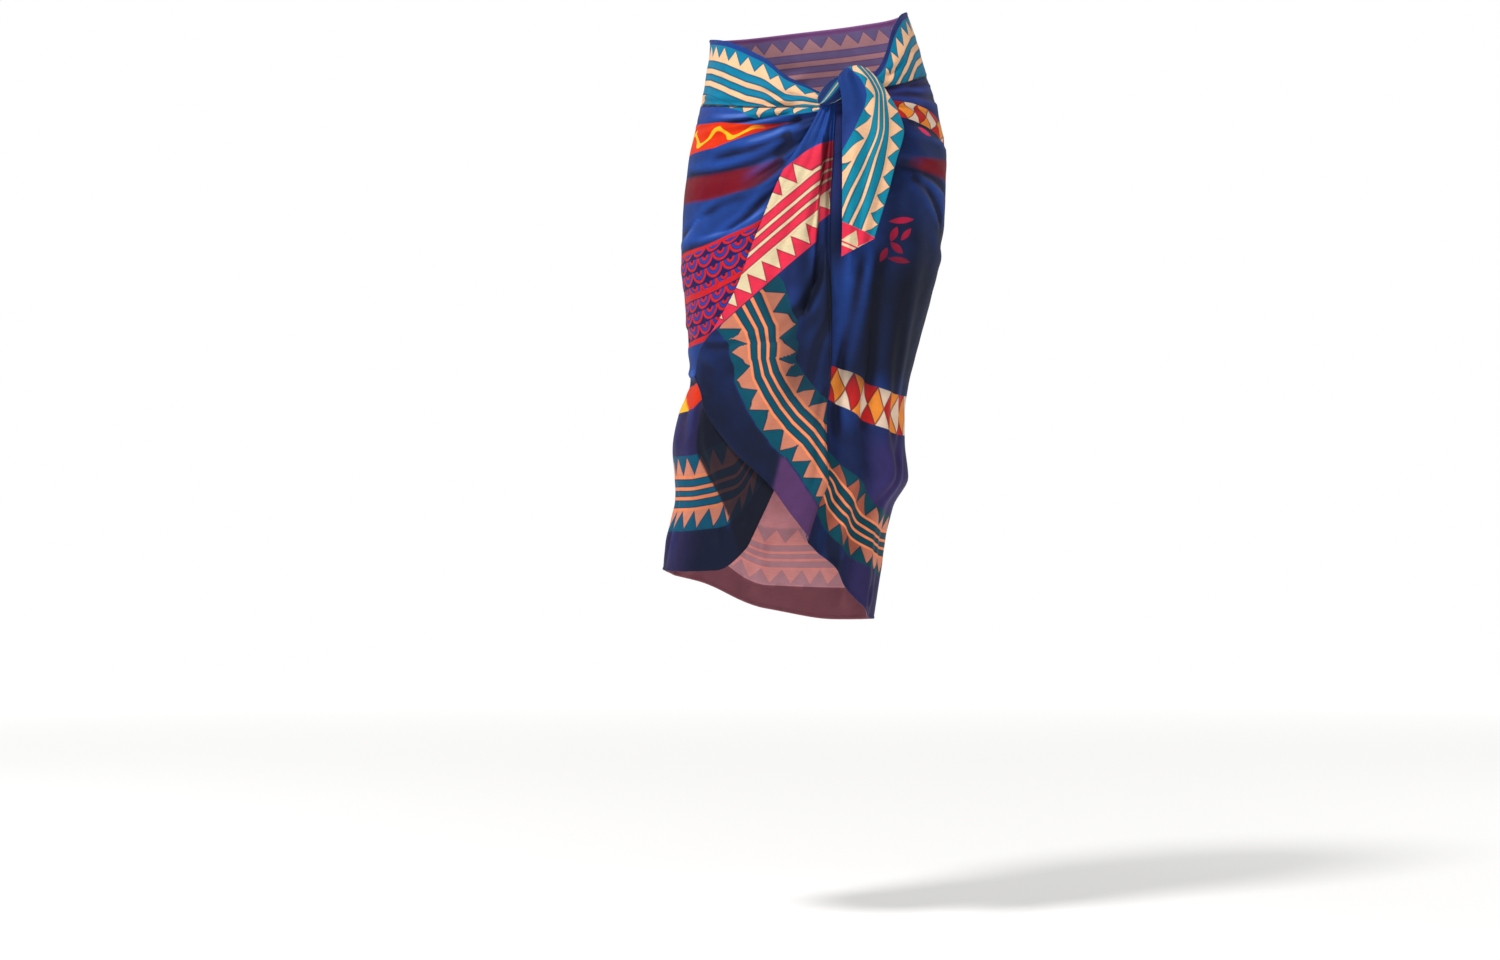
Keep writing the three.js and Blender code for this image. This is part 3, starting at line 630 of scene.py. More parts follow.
class Term:
    """A number in a material, worked out by nodes."""

    __add__, __sub__, __mul__, __truediv__ = map(by_node, ("ADD", "SUBTRACT", "MULTIPLY", "DIVIDE"))
    __abs__, least, most = map(by_node, ("ABSOLUTE", "MINIMUM", "MAXIMUM"))
    part, floor, sine, root = map(by_node, ("FRACT", "FLOOR", "SINE", "SQRT"))

    def __init__(self, ink, socket):
        self.ink, self.socket = ink, socket

    def __rsub__(self, other):
        return self.ink.math("SUBTRACT", other, self)

    def share(self):
        """Kept between 0 and 1."""
        return self.ink.math("MULTIPLY", self, 1.0, clamp=True)

    def cover(self, blur=0.8):
        """1 where the number is positive, with a soft printed edge, in millimetres."""
        return self.ink.math("ADD", self / blur, 0.5, clamp=True)

    def between(self, low, high, blur=0.8):
        return (self - low).least(high - self).cover(blur)


class Ink:
    """Node tree of one cloth material."""

    def __init__(self, name):
        self.material = bpy.data.materials.new(name)
        self.material.use_nodes = True
        self.tree = self.material.node_tree
        self.shader = self.tree.nodes["Principled BSDF"]
        self.read = {}

    def node(self, kind, given=(), **settings):
        """A node with its settings and the inputs given to it, by name or number."""
        made = self.tree.nodes.new("ShaderNode" + kind)
        for key, value in settings.items():
            setattr(made, key, value)
        self.feed(made, given)
        return made

    def feed(self, node, given):
        """Each value is a number, a vector, a colour or the outcome of another node."""
        for key, value in dict(given).items():
            if isinstance(value, Term):
                value = value.socket
            if isinstance(value, bpy.types.NodeSocket):
                self.tree.links.new(value, node.inputs[key])
            else:
                node.inputs[key].default_value = value

    def math(self, operation, *values, clamp=False):
        node = self.node("Math", enumerate(values), operation=operation, use_clamp=clamp)
        return Term(self, node.outputs[0])

    def marks(self, name):
        """The three numbers that a mesh carries under this name."""
        if name not in self.read:
            vector = self.node("Attribute", attribute_name=name).outputs["Vector"]
            split = self.node("SeparateXYZ", {0: vector})
            self.read[name] = [Term(self, out) for out in split.outputs], vector
        return self.read[name][0]

    def paint(self, under, over, cover):
        """Colour over laid on colour under where cover is 1."""
        under, over = (linear(c) if isinstance(c, tuple) else c for c in (under, over))
        return self.node("Mix", {"Factor": cover, 6: under, 7: over}, data_type="RGBA").outputs[2]

    def noise(self, scale, detail, stretch=(1, 1, 1)):
        """Noise over the cloth, on its own marks."""
        self.marks("cloth")
        vector = self.read["cloth"][1]
        vector = self.node("VectorMath", {0: vector, 1: stretch}, operation="MULTIPLY").outputs[0]
        node = self.node("TexNoise", {"Scale": scale, "Detail": detail, "Vector": vector})
        return Term(self, node.outputs["Fac"])


NAVY = (19, 28, 60)
ROYAL = (32, 74, 158)
PAINTED_HIGHLIGHT_BLUE = (96, 132, 214)
PAINTED_SHADE = (16, 20, 34)
PURPLE = (58, 44, 96)
RECESS_SHADE = (20, 36, 84)
TEAL_TOP = (4, 122, 158)
# TEAL_RIGHT, TEAL_LEFT and TEAL_DRAPE are darker copies of TEAL_TOP, and DUSK_PEACH, DRAPE_PEACH and
# DUSK_LINE of the pale peach: painted shade
TEAL_RIGHT = (2, 86, 116)
TEAL_LEFT = (2, 66, 80)
TEAL_DRAPE = (2, 74, 94)
TEAL_TAIL = (8, 132, 160)
PEACH = (240, 158, 116)
PALE_PEACH = (246, 194, 150)
RED_GROUND = (222, 46, 74)
CREAM = (222, 204, 164)
WINE = (114, 10, 30)
SHADED_RED = (92, 6, 20)
ORANGE = (222, 48, 4)
YELLOW = (255, 190, 30)
LATTICE_RED = (204, 30, 36)
PANEL_GROUND = (32, 28, 84)
PANEL_BLUE = (30, 66, 170)
DIAMOND_RED = (196, 32, 30)
DIAMOND_ORANGE = (240, 142, 50)
DIAMOND_PALE = (232, 205, 180)
MAGENTA = (226, 34, 92)
PALE_AND_BACKLIT = (250, 176, 182)
INSIDE_SHADE_PURPLE = (140, 84, 150)
HEM_MAUVE = (150, 82, 90)
SHADED_PEACH = (146, 72, 54)
PLUM = (84, 52, 96)
DUSK_PEACH = (216, 134, 108)
DRAPE_PEACH = (200, 123, 97)
DUSK_LINE = (238, 138, 92)
JOINT = (96, 30, 40)
MOTTLE = (10, 10, 30)
LEAF = (176, 24, 62)
TOP_THICK = 0.7           # the upper border's lines are this much wider on each side
LOW_THICK = 0.4           # and the lower border's

STRIPES = [(24, 26.8), (37, 40.2), (48.5, 51.7), (62, 65)]
KEYLINE = 1.3             # dark line printed round each figure
KEY_COLOUR = (14, 34, 52)
TOOTH_OUT = (3, 24)       # apex and base of the outward teeth, from the border's outer edge
TOOTH_IN = (86, 65)
TOOTH_RED = (3, 20)       # the same in the corner of the tail, from the red band's edge
RED_LINE = (22, 25)       # and the line behind them
WIDE_PITCH = 25.0         # teeth along the waist, the left front and the drape, one to another
TAIL_PITCH = 23.0
SOFT = 0.4                # blur of the print where the waist fold cuts it
WEDGE_MIDDLE = 119        # middle of the orange wedge, by distance down the side seam
WEDGE_HALF = 19
WAVE = (120, 10, 52, 3.4)             # its yellow wave: middle, swing, length and half width
PANEL_LINES = (PANEL_ROWS[0] + 2, 308, PANEL_ROWS[1] - 3)
PANEL_LINE = 3.5          # half width of the panel's plain lines
SCALE_PITCH = (25.0, 15.0)            # the panel's scales, one to another along and across
SCALE_RINGS = (11.6, 4.2, 7.9)        # radii of a scale's two lines, and of the core between them
SLUB_STRETCH = (0.09, 0.9, 1.0)
WEAVE_STRETCH = (1.1, 1.1, 1.0)
BAND_CUT = 54.5           # degrees from the front at which the right thigh band ends in a point
COLOUR_CHANGE = 300       # how far down the borders' bright colours give way to their darker, painted-shade copies at the hem
RIGHT_RED = (163, 193)    # dark red band on the right, by distance down the side seam
LEFT_RED = (-132, -144, 48, 0.34)     # on the left: top, foot at an angle, and the foot's slope


def teeth(across, run, pitch, apex, base):
    """Row of printed triangles, as the distance inside them."""
    height = abs(base - apex)
    rise = (across - apex) * (1 / (base - apex))
    middle = abs((run / pitch).part() - 0.5) * pitch
    return (rise * (pitch / 2) - middle).least((1 - rise) * height)


def border(ink, under, marks, ground, figure, stripe, pitch, where=1.0, thick=0.0):
    """The cloth's printed border, on its own ground; across runs from its outer edge inwards."""
    across, run, _ = ink.marks(marks)
    inside = across.between(0, BORDER) * where
    colour = ink.paint(under, ground, inside)
    figures = teeth(across, run, pitch, *TOOTH_OUT).most(teeth(across, run, pitch, *TOOTH_IN))
    lines = None
    for low, high in STRIPES:
        line = (across - low).least(high - across) + thick
        lines = line if lines is None else lines.most(line)
    rim = (figures + KEYLINE).cover().most((lines + KEYLINE).cover())
    colour = ink.paint(colour, KEY_COLOUR, rim * inside * 0.6)
    colour = ink.paint(colour, figure, figures.cover() * inside)
    return ink.paint(colour, stripe, lines.cover() * inside)


def harlequin(ink, under, across, run):
    """Band of lozenges in three colours with dark joints."""
    inside = across.between(0, BAND_HEIGHT)
    u = run / PITCH + across / BAND_HEIGHT
    v = run / PITCH - across / BAND_HEIGHT
    kind = ((u.floor() + v.floor() + 0.1) / 3).part() * 3
    colour = ink.paint(DIAMOND_RED, DIAMOND_ORANGE, kind.between(0.5, 1.5, 0.1))
    colour = ink.paint(colour, DIAMOND_PALE, kind.between(1.5, 3, 0.1))
    joint = abs(u.part() - 0.5).most(abs(v.part() - 0.5))
    colour = ink.paint(colour, JOINT, (joint - 0.455).cover(0.03) * 0.8)
    return ink.paint(under, colour, inside)


def scallops(run, across):
    """Overlapping scales, a generic all-over pattern: cover of their outlines and of their cores."""
    width, height = SCALE_PITCH
    outer, inner, core = SCALE_RINGS
    shift = ((across / height).floor() / 2).part()
    x = ((run / width + shift).part() - 0.5) * width
    y = (across / height).part() * height
    reach = (x * x + y * y).root()
    outline = abs(reach - outer).least(abs(reach - inner))
    return (1.5 - outline).cover(), (1.3 - abs(reach - core)).cover()


def ground_cloth(ink):
    """Dyed ground: navy that lifts to royal blue or purple where the marks say so. The royal share also
    carries painted shade and painted highlight from the creases, and past 1 it turns to a pale blue painted
    highlight."""
    royal, purple, _ = ink.marks("tone")
    cloud = ink.noise(0.02, 3.0) - 0.5
    colour = ink.paint(NAVY, ROYAL, (royal + cloud * 0.5).share())
    # painted highlight: pale blue where the royal share runs past 1, as on crease ridges
    colour = ink.paint(colour, PAINTED_HIGHLIGHT_BLUE, ((royal - 1) * 0.8).share())
    return ink.paint(colour, PURPLE, (purple + cloud * 0.4).share())


def finish_cloth(ink, colour, backlit_share=0.55):
    """Painted shade, the paler wrong side with painted light shining through it, slub, weave and sheen."""
    _, _, dark = ink.marks("tone")
    _, _, inner = ink.marks("cloth")
    slub = ink.noise(1.0, 2.0, SLUB_STRETCH)
    mottle = ink.noise(0.06, 4.0)
    weave = ink.noise(1.0, 1.0, WEAVE_STRETCH)
    # painted shade, laid by the third number of the tone mark
    colour = ink.paint(colour, PAINTED_SHADE, dark.share())
    shade = ((mottle - 0.5) * 0.35 + (slub - 0.5) * 0.3 + 0.06).share()
    colour = ink.paint(colour, MOTTLE, shade)
    # the wrong side is paler, and its pink stands in for light shining through the cloth: painted light
    wrong = ink.paint(colour, PALE_AND_BACKLIT, 0.5)
    colour = ink.paint(colour, wrong, (inner * backlit_share).share())
    bump = ink.node("Bump", {"Strength": 0.18, "Distance": 0.0006, "Height": weave * 0.6 + slub * 0.4})
    ink.feed(ink.shader, {
        "Base Color": colour, "Normal": bump.outputs[0], "Roughness": 0.62, "Specular IOR Level": 0.12,
        "Sheen Weight": 0.04, "Sheen Roughness": 0.4})
    return ink.material


# ---------------- the six stretches

def pleat_angle(z):
    return column(DRAPE_ROWS, 5, 4, z)


def seam_fade(angle):
    return smooth(0, 9, SIDE - np.abs(angle))


def right_front():
    v, u = shares(190, 120)
    angle = -SIDE * (1 - u) ** 1.35
    down = v * RIGHT_ROWS[-1][1]
    z = row_heights(RIGHT_ROWS, RIGHT_ANGLES, angle, down)
    fade = seam_fade(angle)
    bunch = smooth(-62, -14, angle) * smooth(420, 260, down) * smooth(8, 40, down)
    creases = crease_relief(RIGHT_CREASES, angle, z)
    out = INNER_OUT + column(RIGHT_ROWS, 1, 2, down) * curve(RIGHT_ANGLES, RIGHT_FADE, angle)
    out += fade * (creases + bunch * 1.5 * gathers(down, 3, 17) + swell(angle, z, 5, 0.9, 60))
    points = on_figure(angle, z, out)
    below, top_run = below_top(angle, z)
    band_top, band_foot = RIGHT_BAND
    across = np.where(down < 300, under_fold(down, angle + SIDE, 28), RIGHT_BORDER_OUT - down)
    royal, purple, dark = right_ground(down, angle)
    # painted shade in crease troughs and painted highlight on their lips, plus painted highlight lines
    royal = royal + 0.32 * np.clip(creases, *CREASE_SHADE_RANGE) * fade + painted_glint_share(RIGHT_PAINTED_GLINTS, angle, z)
    # painted shade past line_angle on the lower right front, and along the hem margin
    past = angle - line_angle(z)
    over = smooth(-0.8, 0.8, past) * (0.72 + 0.25 * smooth(2, 24, past))
    dark = dark + over * smooth(400, 460, down) + 0.25 * smooth(576, 580, down)
    return points, {
        "border": (across, distance_along(points), 0),
        "top": (top_border(below / np.interp(angle, *RIGHT_SQUEEZE)), top_run, 0),
        "rows": (angle, down, BAND_HEIGHT * (down - band_top) / (band_foot - band_top)),
        "tone": (royal, purple, np.clip(dark, 0, 0.96)), "cloth": ((angle + 360) * ARC, 10 - down, 0),
    }


def right_ground(down, angle):
    """Royal, purple and dark shares of the ground on the right front; the dark share is painted shade."""
    royal = 0.5 - 0.25 * smooth(-45, -10, angle) - 0.4 * smooth(385, 440, down)
    royal = royal + 0.2 * smooth(135, 95, down)
    royal = royal - 0.5 * smooth(-62, -48, angle) * smooth(330, 380, down)
    purple = 0.6 * smooth(400, 470, down) * smooth(-40, -62, angle)
    purple = purple + 0.25 * smooth(100, 90, down) * smooth(-40, -70, angle)
    return royal, purple, 0.35 * smooth(-70, -40, angle) * smooth(330, 430, down)


def left_ground(z, angle):
    """The same on the left front. The lit front strip is painted lighter and the hip under the wine
    band gets a painted highlight; the hollow and the strip beside the pleat get painted shade.
    """
    bend = angle - np.interp(-z, [230, 400], [33, 23])
    front = smooth(5, -9, bend) * smooth(420, 300, -z)
    high, lower = smooth(-110, -60, z), smooth(170, 235, -z)
    beside = smooth(17, 11, angle) * smooth(60, 90, -z) * smooth(290, 240, -z)
    hollow = smooth(190, 290, -z) * smooth(-9, 4, bend) * smooth(420, 372, -z)
    # royal: painted light on the front strip and a painted highlight under the wine band
    royal = 0.1 + 0.2 * bell(z + 165, 45) * smooth(42, 62, angle) + 0.3 * high + 0.34 * front
    purple = 0.8 * smooth(430, 480, -z) * smooth(32, 56, angle) + 0.35 * high + 0.3 * beside * (1 - lower)
    # dark: painted shade in the hollow and in the strip beside the pleat
    return royal, purple, 0.85 * hollow * (1 - 0.35 * smooth(60, 90, angle)) + beside * (0.25 + 0.5 * lower)


def line_angle(z):
    """Angle at each height past which the right front is painted darker, a painted shade."""
    return np.interp(-z, [430, 479, 502, 528, 551, 620], [-54, -51.5, -46, -36, -27.5, -12])


def wedge(ink, under, run, down, reach):
    """Long pointed orange shape with a yellow wave; reach is the share of its full height."""
    middle, swing, length, half_width = WAVE
    inside = reach * WEDGE_HALF - abs(down - WEDGE_MIDDLE)
    colour = ink.paint(WINE, ORANGE, (reach * 2 - 0.3).share())
    colour = ink.paint(under, colour, inside.cover(1.2))
    wave = down - middle - (run * (2 * np.pi / length)).sine() * swing * reach
    ribbon = (half_width - abs(wave)).cover() * (inside + 2).cover() * (reach * 4 - 1.4).share()
    return ink.paint(colour, YELLOW, ribbon)


def panel(ink, under, run, down, inside):
    """Panel of scales between plain red lines."""
    outline, core = scallops(run, down - PANEL_ROWS[0])
    colour = ink.paint(ink.paint(PANEL_GROUND, LATTICE_RED, outline), PANEL_BLUE, core)
    for row in PANEL_LINES:
        colour = ink.paint(colour, LATTICE_RED, (PANEL_LINE - abs(down - row)).cover())
    return ink.paint(under, colour, inside)


def fold_line(ink, under, down, aside):
    """Painted shade: a dark line where the cloth turns under at the waist fold, fading out towards the side
    seam.
    """
    line = (FOLD_HALF - abs(down - WAIST_FOLD - 1)).cover(1.2)
    return ink.paint(under, PAINTED_SHADE, line * ((SIDE - FOLD_FADE - aside) / FOLD_FADE).share() * 0.9)


def tuck(ink, under, above, down, aside):
    """Above the waist fold and away from the side seam, the border's fourth line and inner teeth go
    under: a slanting crease cuts them off, drawn as a line of painted shade, and plain border
    ground shows past it."""
    across, _, _ = ink.marks("top")
    slant = SIDE - TUCK_AWAY - aside - (WAIST_FOLD - down) * TUCK_SLANT
    inner = (across - STRIPES[-1][0] + 1.5).cover() * above
    colour = ink.paint(under, TEAL_TOP, slant.cover(1.5) * inner)
    # painted shade along the slanting crease
    return ink.paint(colour, PAINTED_SHADE, (0.7 - abs(slant)).cover(1.2) * inner * 0.85)


def front_borders(ink, colour, down, aside, teal, tooth, line, pitch):
    """The border along the hem, the one along the waist, and the fold that cuts both off there, with its
    painted shade line.
    """
    below, above = (down - WAIST_FOLD).cover(SOFT), (WAIST_FOLD - down).cover(SOFT)
    colour = border(ink, colour, "border", teal, tooth, line, pitch, below, LOW_THICK)
    colour = border(ink, colour, "top", TEAL_TOP, PALE_PEACH, PALE_PEACH, WIDE_PITCH, above, TOP_THICK)
    return fold_line(ink, tuck(ink, colour, above, down, aside), down, aside)


def hem_colours(ink, z, teal):
    """Colours of a border's ground, teeth and lines: darker copies at the hem, a painted shade, and as at
    the waist above.
    """
    high = ((z + COLOUR_CHANGE) / 20).share()
    pairs = (teal, TEAL_TOP), (DUSK_PEACH, PALE_PEACH), (DUSK_LINE, PALE_PEACH)
    return [ink.paint(dusky, bright, high) for dusky, bright in pairs], high


def right_material():
    ink = Ink("cloth_right")
    angle, down, thigh = ink.marks("rows")
    _, run, _ = ink.marks("border")
    aside = abs(angle)
    colour = wedge(ink, ground_cloth(ink), run, down, ((aside - 12) / 40).share())
    colour = ink.paint(colour, WINE, down.between(*RIGHT_RED, 5) * ((aside - 14) / 22).share())
    colour = panel(ink, colour, run, down, down.between(*PANEL_ROWS, 2))
    band = harlequin(ink, colour, thigh, run)
    inside = thigh.between(0, BAND_HEIGHT)
    band = ink.paint(band, ORANGE, inside * ((angle + 92) / 1.5).share())
    band = ink.paint(band, YELLOW, inside * ((thigh - 30 - (angle + 76) * 1.6) / 6).share())
    colour = ink.paint(colour, band, (aside - BAND_CUT - abs(thigh - 19) * 0.28).cover())
    # the lower border takes the darker copies of its colours: painted shade
    deep = ((down - COLOUR_CHANGE) / 20).share()
    pairs = (TEAL_TOP, TEAL_RIGHT), (PALE_PEACH, DUSK_PEACH), (PEACH, DUSK_LINE)
    shades = [ink.paint(bright, dusky, deep) for bright, dusky in pairs]
    return finish_cloth(ink, front_borders(ink, colour, down, aside, *shades, PITCH))


def left_front():
    v, u = shares(160, 120)
    share = u ** 1.1
    down = v * LEFT_ROWS[-1][1]
    z = row_heights(LEFT_ROWS, LEFT_SHARES, share, down)
    z = z + LAP_LIFT * smooth(0.022, 0.008, share) * v ** 6
    start = pleat_angle(row_heights(LEFT_ROWS, LEFT_SHARES, 0 * share, down)) - LAP
    angle = blend(start, SIDE, share)
    fade = seam_fade(angle) * smooth(0.0, 0.05, share)
    bunch = smooth(0.55, 0.1, share) * smooth(320, 180, down) * smooth(8, 40, down)
    creases = crease_relief(LEFT_CREASES, angle, z)
    out = INNER_OUT + column(LEFT_ROWS, 1, 2, down) * curve(LEFT_SHARES, LEFT_FADE, share)
    out += fold_relief(LEFT_FOLDS, share, v)
    out += fade * (creases + bunch * 1.3 * gathers(down, 13, 18) + swell(angle, z, 15, 0.9, 60))
    points = on_figure(angle, z, out)
    run = distance_along(points)
    run = run - run[:, -1:]
    place = LEFT_SHARES, share, z
    hip = across_strip(*place, HIP_BAND_TOP, HIP_BAND_LOW)
    thigh = across_strip(*place, THIGH_BAND_TOP, THIGH_BAND_LOW)
    low = across_strip(*place, LEFT_BORDER_OUT, LEFT_BORDER_IN, BORDER)
    across = np.where(down < 320, under_fold(down, SIDE - angle, 90), low)
    below, top_run = below_top(angle, z)
    royal, purple, dark = left_ground(z, angle)
    # painted shade in crease troughs and painted highlight on their lips
    royal = royal + 0.24 * np.clip(creases, *CREASE_SHADE_RANGE) * fade
    # painted shade on the hem margin below the border
    dark = dark + (0.3 + 0.35 * smooth(24, 14, angle)) * (across < -1) * (down > 320)
    top = top_border(below / np.interp(angle, *LEFT_SQUEEZE))
    return points, {
        "border": (across, run, 0), "top": (top, top_run - top_run.max(), 0), "rows": (angle, z, down),
        "tone": (royal, purple, np.clip(dark, 0, 0.85)), "cloth": (angle * ARC, 46 - down, 0),
        "band": (hip, run, thigh),
    }


def left_material():
    ink = Ink("cloth_left")
    angle, z, down = ink.marks("rows")
    hip, run, thigh = ink.marks("band")
    top, foot, foot_angle, slope = LEFT_RED
    low = z - foot + (angle - foot_angle) * slope
    wine = low.least((z - top) * -1).cover(5) * ((angle - 42) / 12).share()
    colour = ink.paint(ground_cloth(ink), WINE, wine)
    colour = leaf(ink, colour, angle, z, (57, -101), (14, 3.6), -0.3, MAGENTA)
    for spot in RED_LEAVES:
        colour = leaf(ink, colour, angle, z, *spot, LEAF)
    colour = ink.paint(colour, harlequin(ink, colour, hip, run), ((angle - 15) / 3).share())
    colour = harlequin(ink, colour, thigh, run)
    (teal, tooth, line), _ = hem_colours(ink, z, TEAL_LEFT)
    # painted shade over the lower border's teeth
    turned = ((z + 430) / -40).share() * ((62 - angle) / 14).share()
    tooth = ink.paint(tooth, SHADED_PEACH, turned * 0.85)
    return finish_cloth(ink, front_borders(ink, colour, down, abs(angle), teal, tooth, line, WIDE_PITCH))


# Centre (angle, z), half length and half width in millimetres, slant in radians.
RED_LEAVES = [
    ((41, -206), (15, 3.6), 0.1), ((38, -222), (9, 4.2), 1.3), ((44, -222), (9, 3.8), 0.9),
    ((40, -238), (10, 4.0), -0.7), ((34, -246), (9, 4.2), 1.2), ((42, -252), (14, 3.4), -0.15),
]


def leaf(ink, under, angle, z, place, size, slant, colour):
    """A plain pointed leaf, the kind that fills gaps in any floral print."""
    x, y = (angle - place[0]) * ARC, z - place[1]
    across_share, along_share = float(np.sin(slant)), float(np.cos(slant))
    along = x * along_share + y * across_share
    across = y * along_share - x * across_share
    bend = along * along / size[0] ** 2
    return ink.paint(under, colour, ((1 - bend) * size[1] - abs(across)).cover(1.0))


def back():
    v, u = shares(150, 160, fine_along=0.004)
    top, hem = curve(BACK_SHARES, BACK_TOP, u), curve(BACK_SHARES, BACK_HEM, u)
    z = blend(top, hem, v)
    angle = blend(SIDE, 360 - SIDE, u)
    middle = ends(0, 0.16, u)
    fade = smooth(0, 9, angle - SIDE) * smooth(0, 9, 360 - SIDE - angle)
    creases = crease_relief(BACK_CREASES, angle, z)
    out = INNER_OUT + (column(BACK_ROWS, 0, 1, v) + fold_relief(BACK_FOLDS, u, v)) * middle
    out += fade * (creases + swell(angle, z, 25, 1.1, 70, fine_size=24))
    points = on_figure(angle, z, out)
    length = distance_along(points)[:, -1]
    whole = 3 * PITCH
    run = u * whole * np.where(v < 0.6, np.round(length[0] / whole), np.round(length[-1] / whole))
    place = BACK_SHARES, u, z
    hip = across_strip(*place, BACK_HIP_TOP, BACK_HIP_LOW)
    thigh = across_strip(*place, BACK_THIGH_TOP, BACK_THIGH_LOW)
    low = across_strip(*place, BACK_BORDER_OUT, BACK_BORDER_IN, BORDER)
    across = np.where(v < 0.5, top_border(top - z), low)
    right_tone, left_tone = right_ground(10 - z, -SIDE), left_ground(z, SIDE)
    middle_tone = (0.5 - 0.3 * smooth(300, 420, -z), 0.6 * smooth(430, 480, -z), 0 * z)
    royal, purple, dark = (
        blend(left, centre, smooth(0, 0.3, u)) + (right - centre) * smooth(0.7, 1, u)
        for left, centre, right in zip(left_tone, middle_tone, right_tone))
    # painted shade in crease troughs and painted highlight on their lips
    royal = royal + 0.18 * np.clip(creases, *CREASE_SHADE_RANGE) * fade
    # painted shade on the hem margin below the border
    dark = dark + 0.3 * (across < -1) * (v > 0.5)
    return points, {
        "border": (across, run, 0), "seam": (run - run[:, -1:], 10 - z, 0),
        "band": (hip, run, thigh), "rows": (0, z, across_strip(*place, BACK_RED_TOP, BACK_RED_LOW)),
        "tone": (royal, purple, dark), "cloth": (angle * ARC, z, 0),
    }


def back_material():
    ink = Ink("cloth_back")
    _, z, wine = ink.marks("rows")
    hip, run, thigh = ink.marks("band")
    from_seam, down, _ = ink.marks("seam")
    across, _, _ = ink.marks("border")
    _, _, inner = ink.marks("cloth")
    colour = ink.paint(ground_cloth(ink), WINE, wine.between(0, BAND_HEIGHT, 5))
    from_end = from_seam + PANEL_REACH
    inside = from_end.least(down - PANEL_ROWS[0]).least(PANEL_ROWS[1] - down)
    colour = panel(ink, colour, from_seam, down, inside.cover(2))
    end_line = (PANEL_LINE - abs(from_end)).cover() * down.between(*PANEL_ROWS)
    colour = ink.paint(colour, LATTICE_RED, end_line)
    cut = (from_seam + WEDGE_REACH + 14) * -1 - abs(hip - BAND_HEIGHT / 2) * 0.52
    colour = ink.paint(colour, harlequin(ink, colour, hip, run), cut.cover())
    colour = harlequin(ink, colour, thigh, run)
    colour = wedge(ink, colour, from_seam, down, ((from_seam + WEDGE_REACH) / 60).share())
    shades, high = hem_colours(ink, z, TEAL_RIGHT)
    colour = border(ink, colour, "border", *shades, PITCH, thick=high * (TOP_THICK - LOW_THICK) + LOW_THICK)
    # painted light inside the back: pale pink where light shines through low down, painted shade in purple
    # higher up, mauve at the hem margin
    inside_light = ink.paint(PALE_AND_BACKLIT, INSIDE_SHADE_PURPLE, ((z + 520) / 60).share())
    inside_light = ink.paint(inside_light, HEM_MAUVE, (across * -1 - 1).least(-560 - z).cover())
    strength = 0.84 - across.between(0, BORDER, 4) * 0.26
    return finish_cloth(ink, ink.paint(colour, inside_light, inner * strength), backlit_share=0.12)


FALL_WIDTH = 2.6          # degrees over which the pleat's edge falls to the cloth beside it
# Degrees in from that edge, then the share of the pleat's height at each.
FALL = ((0, 0.6, 1.3, 1.9, FALL_WIDTH), (0, 0, 0.35, 0.8, 1))
# Painted shade of the narrow fold: depths below the waist, then the strength at each.
SHELF_SHADE = ([104, 135, 165, 195, 215, 235, 250], [0.8, 0.75, 0.7, 0.3, 0.35, 0.7, 0.9])


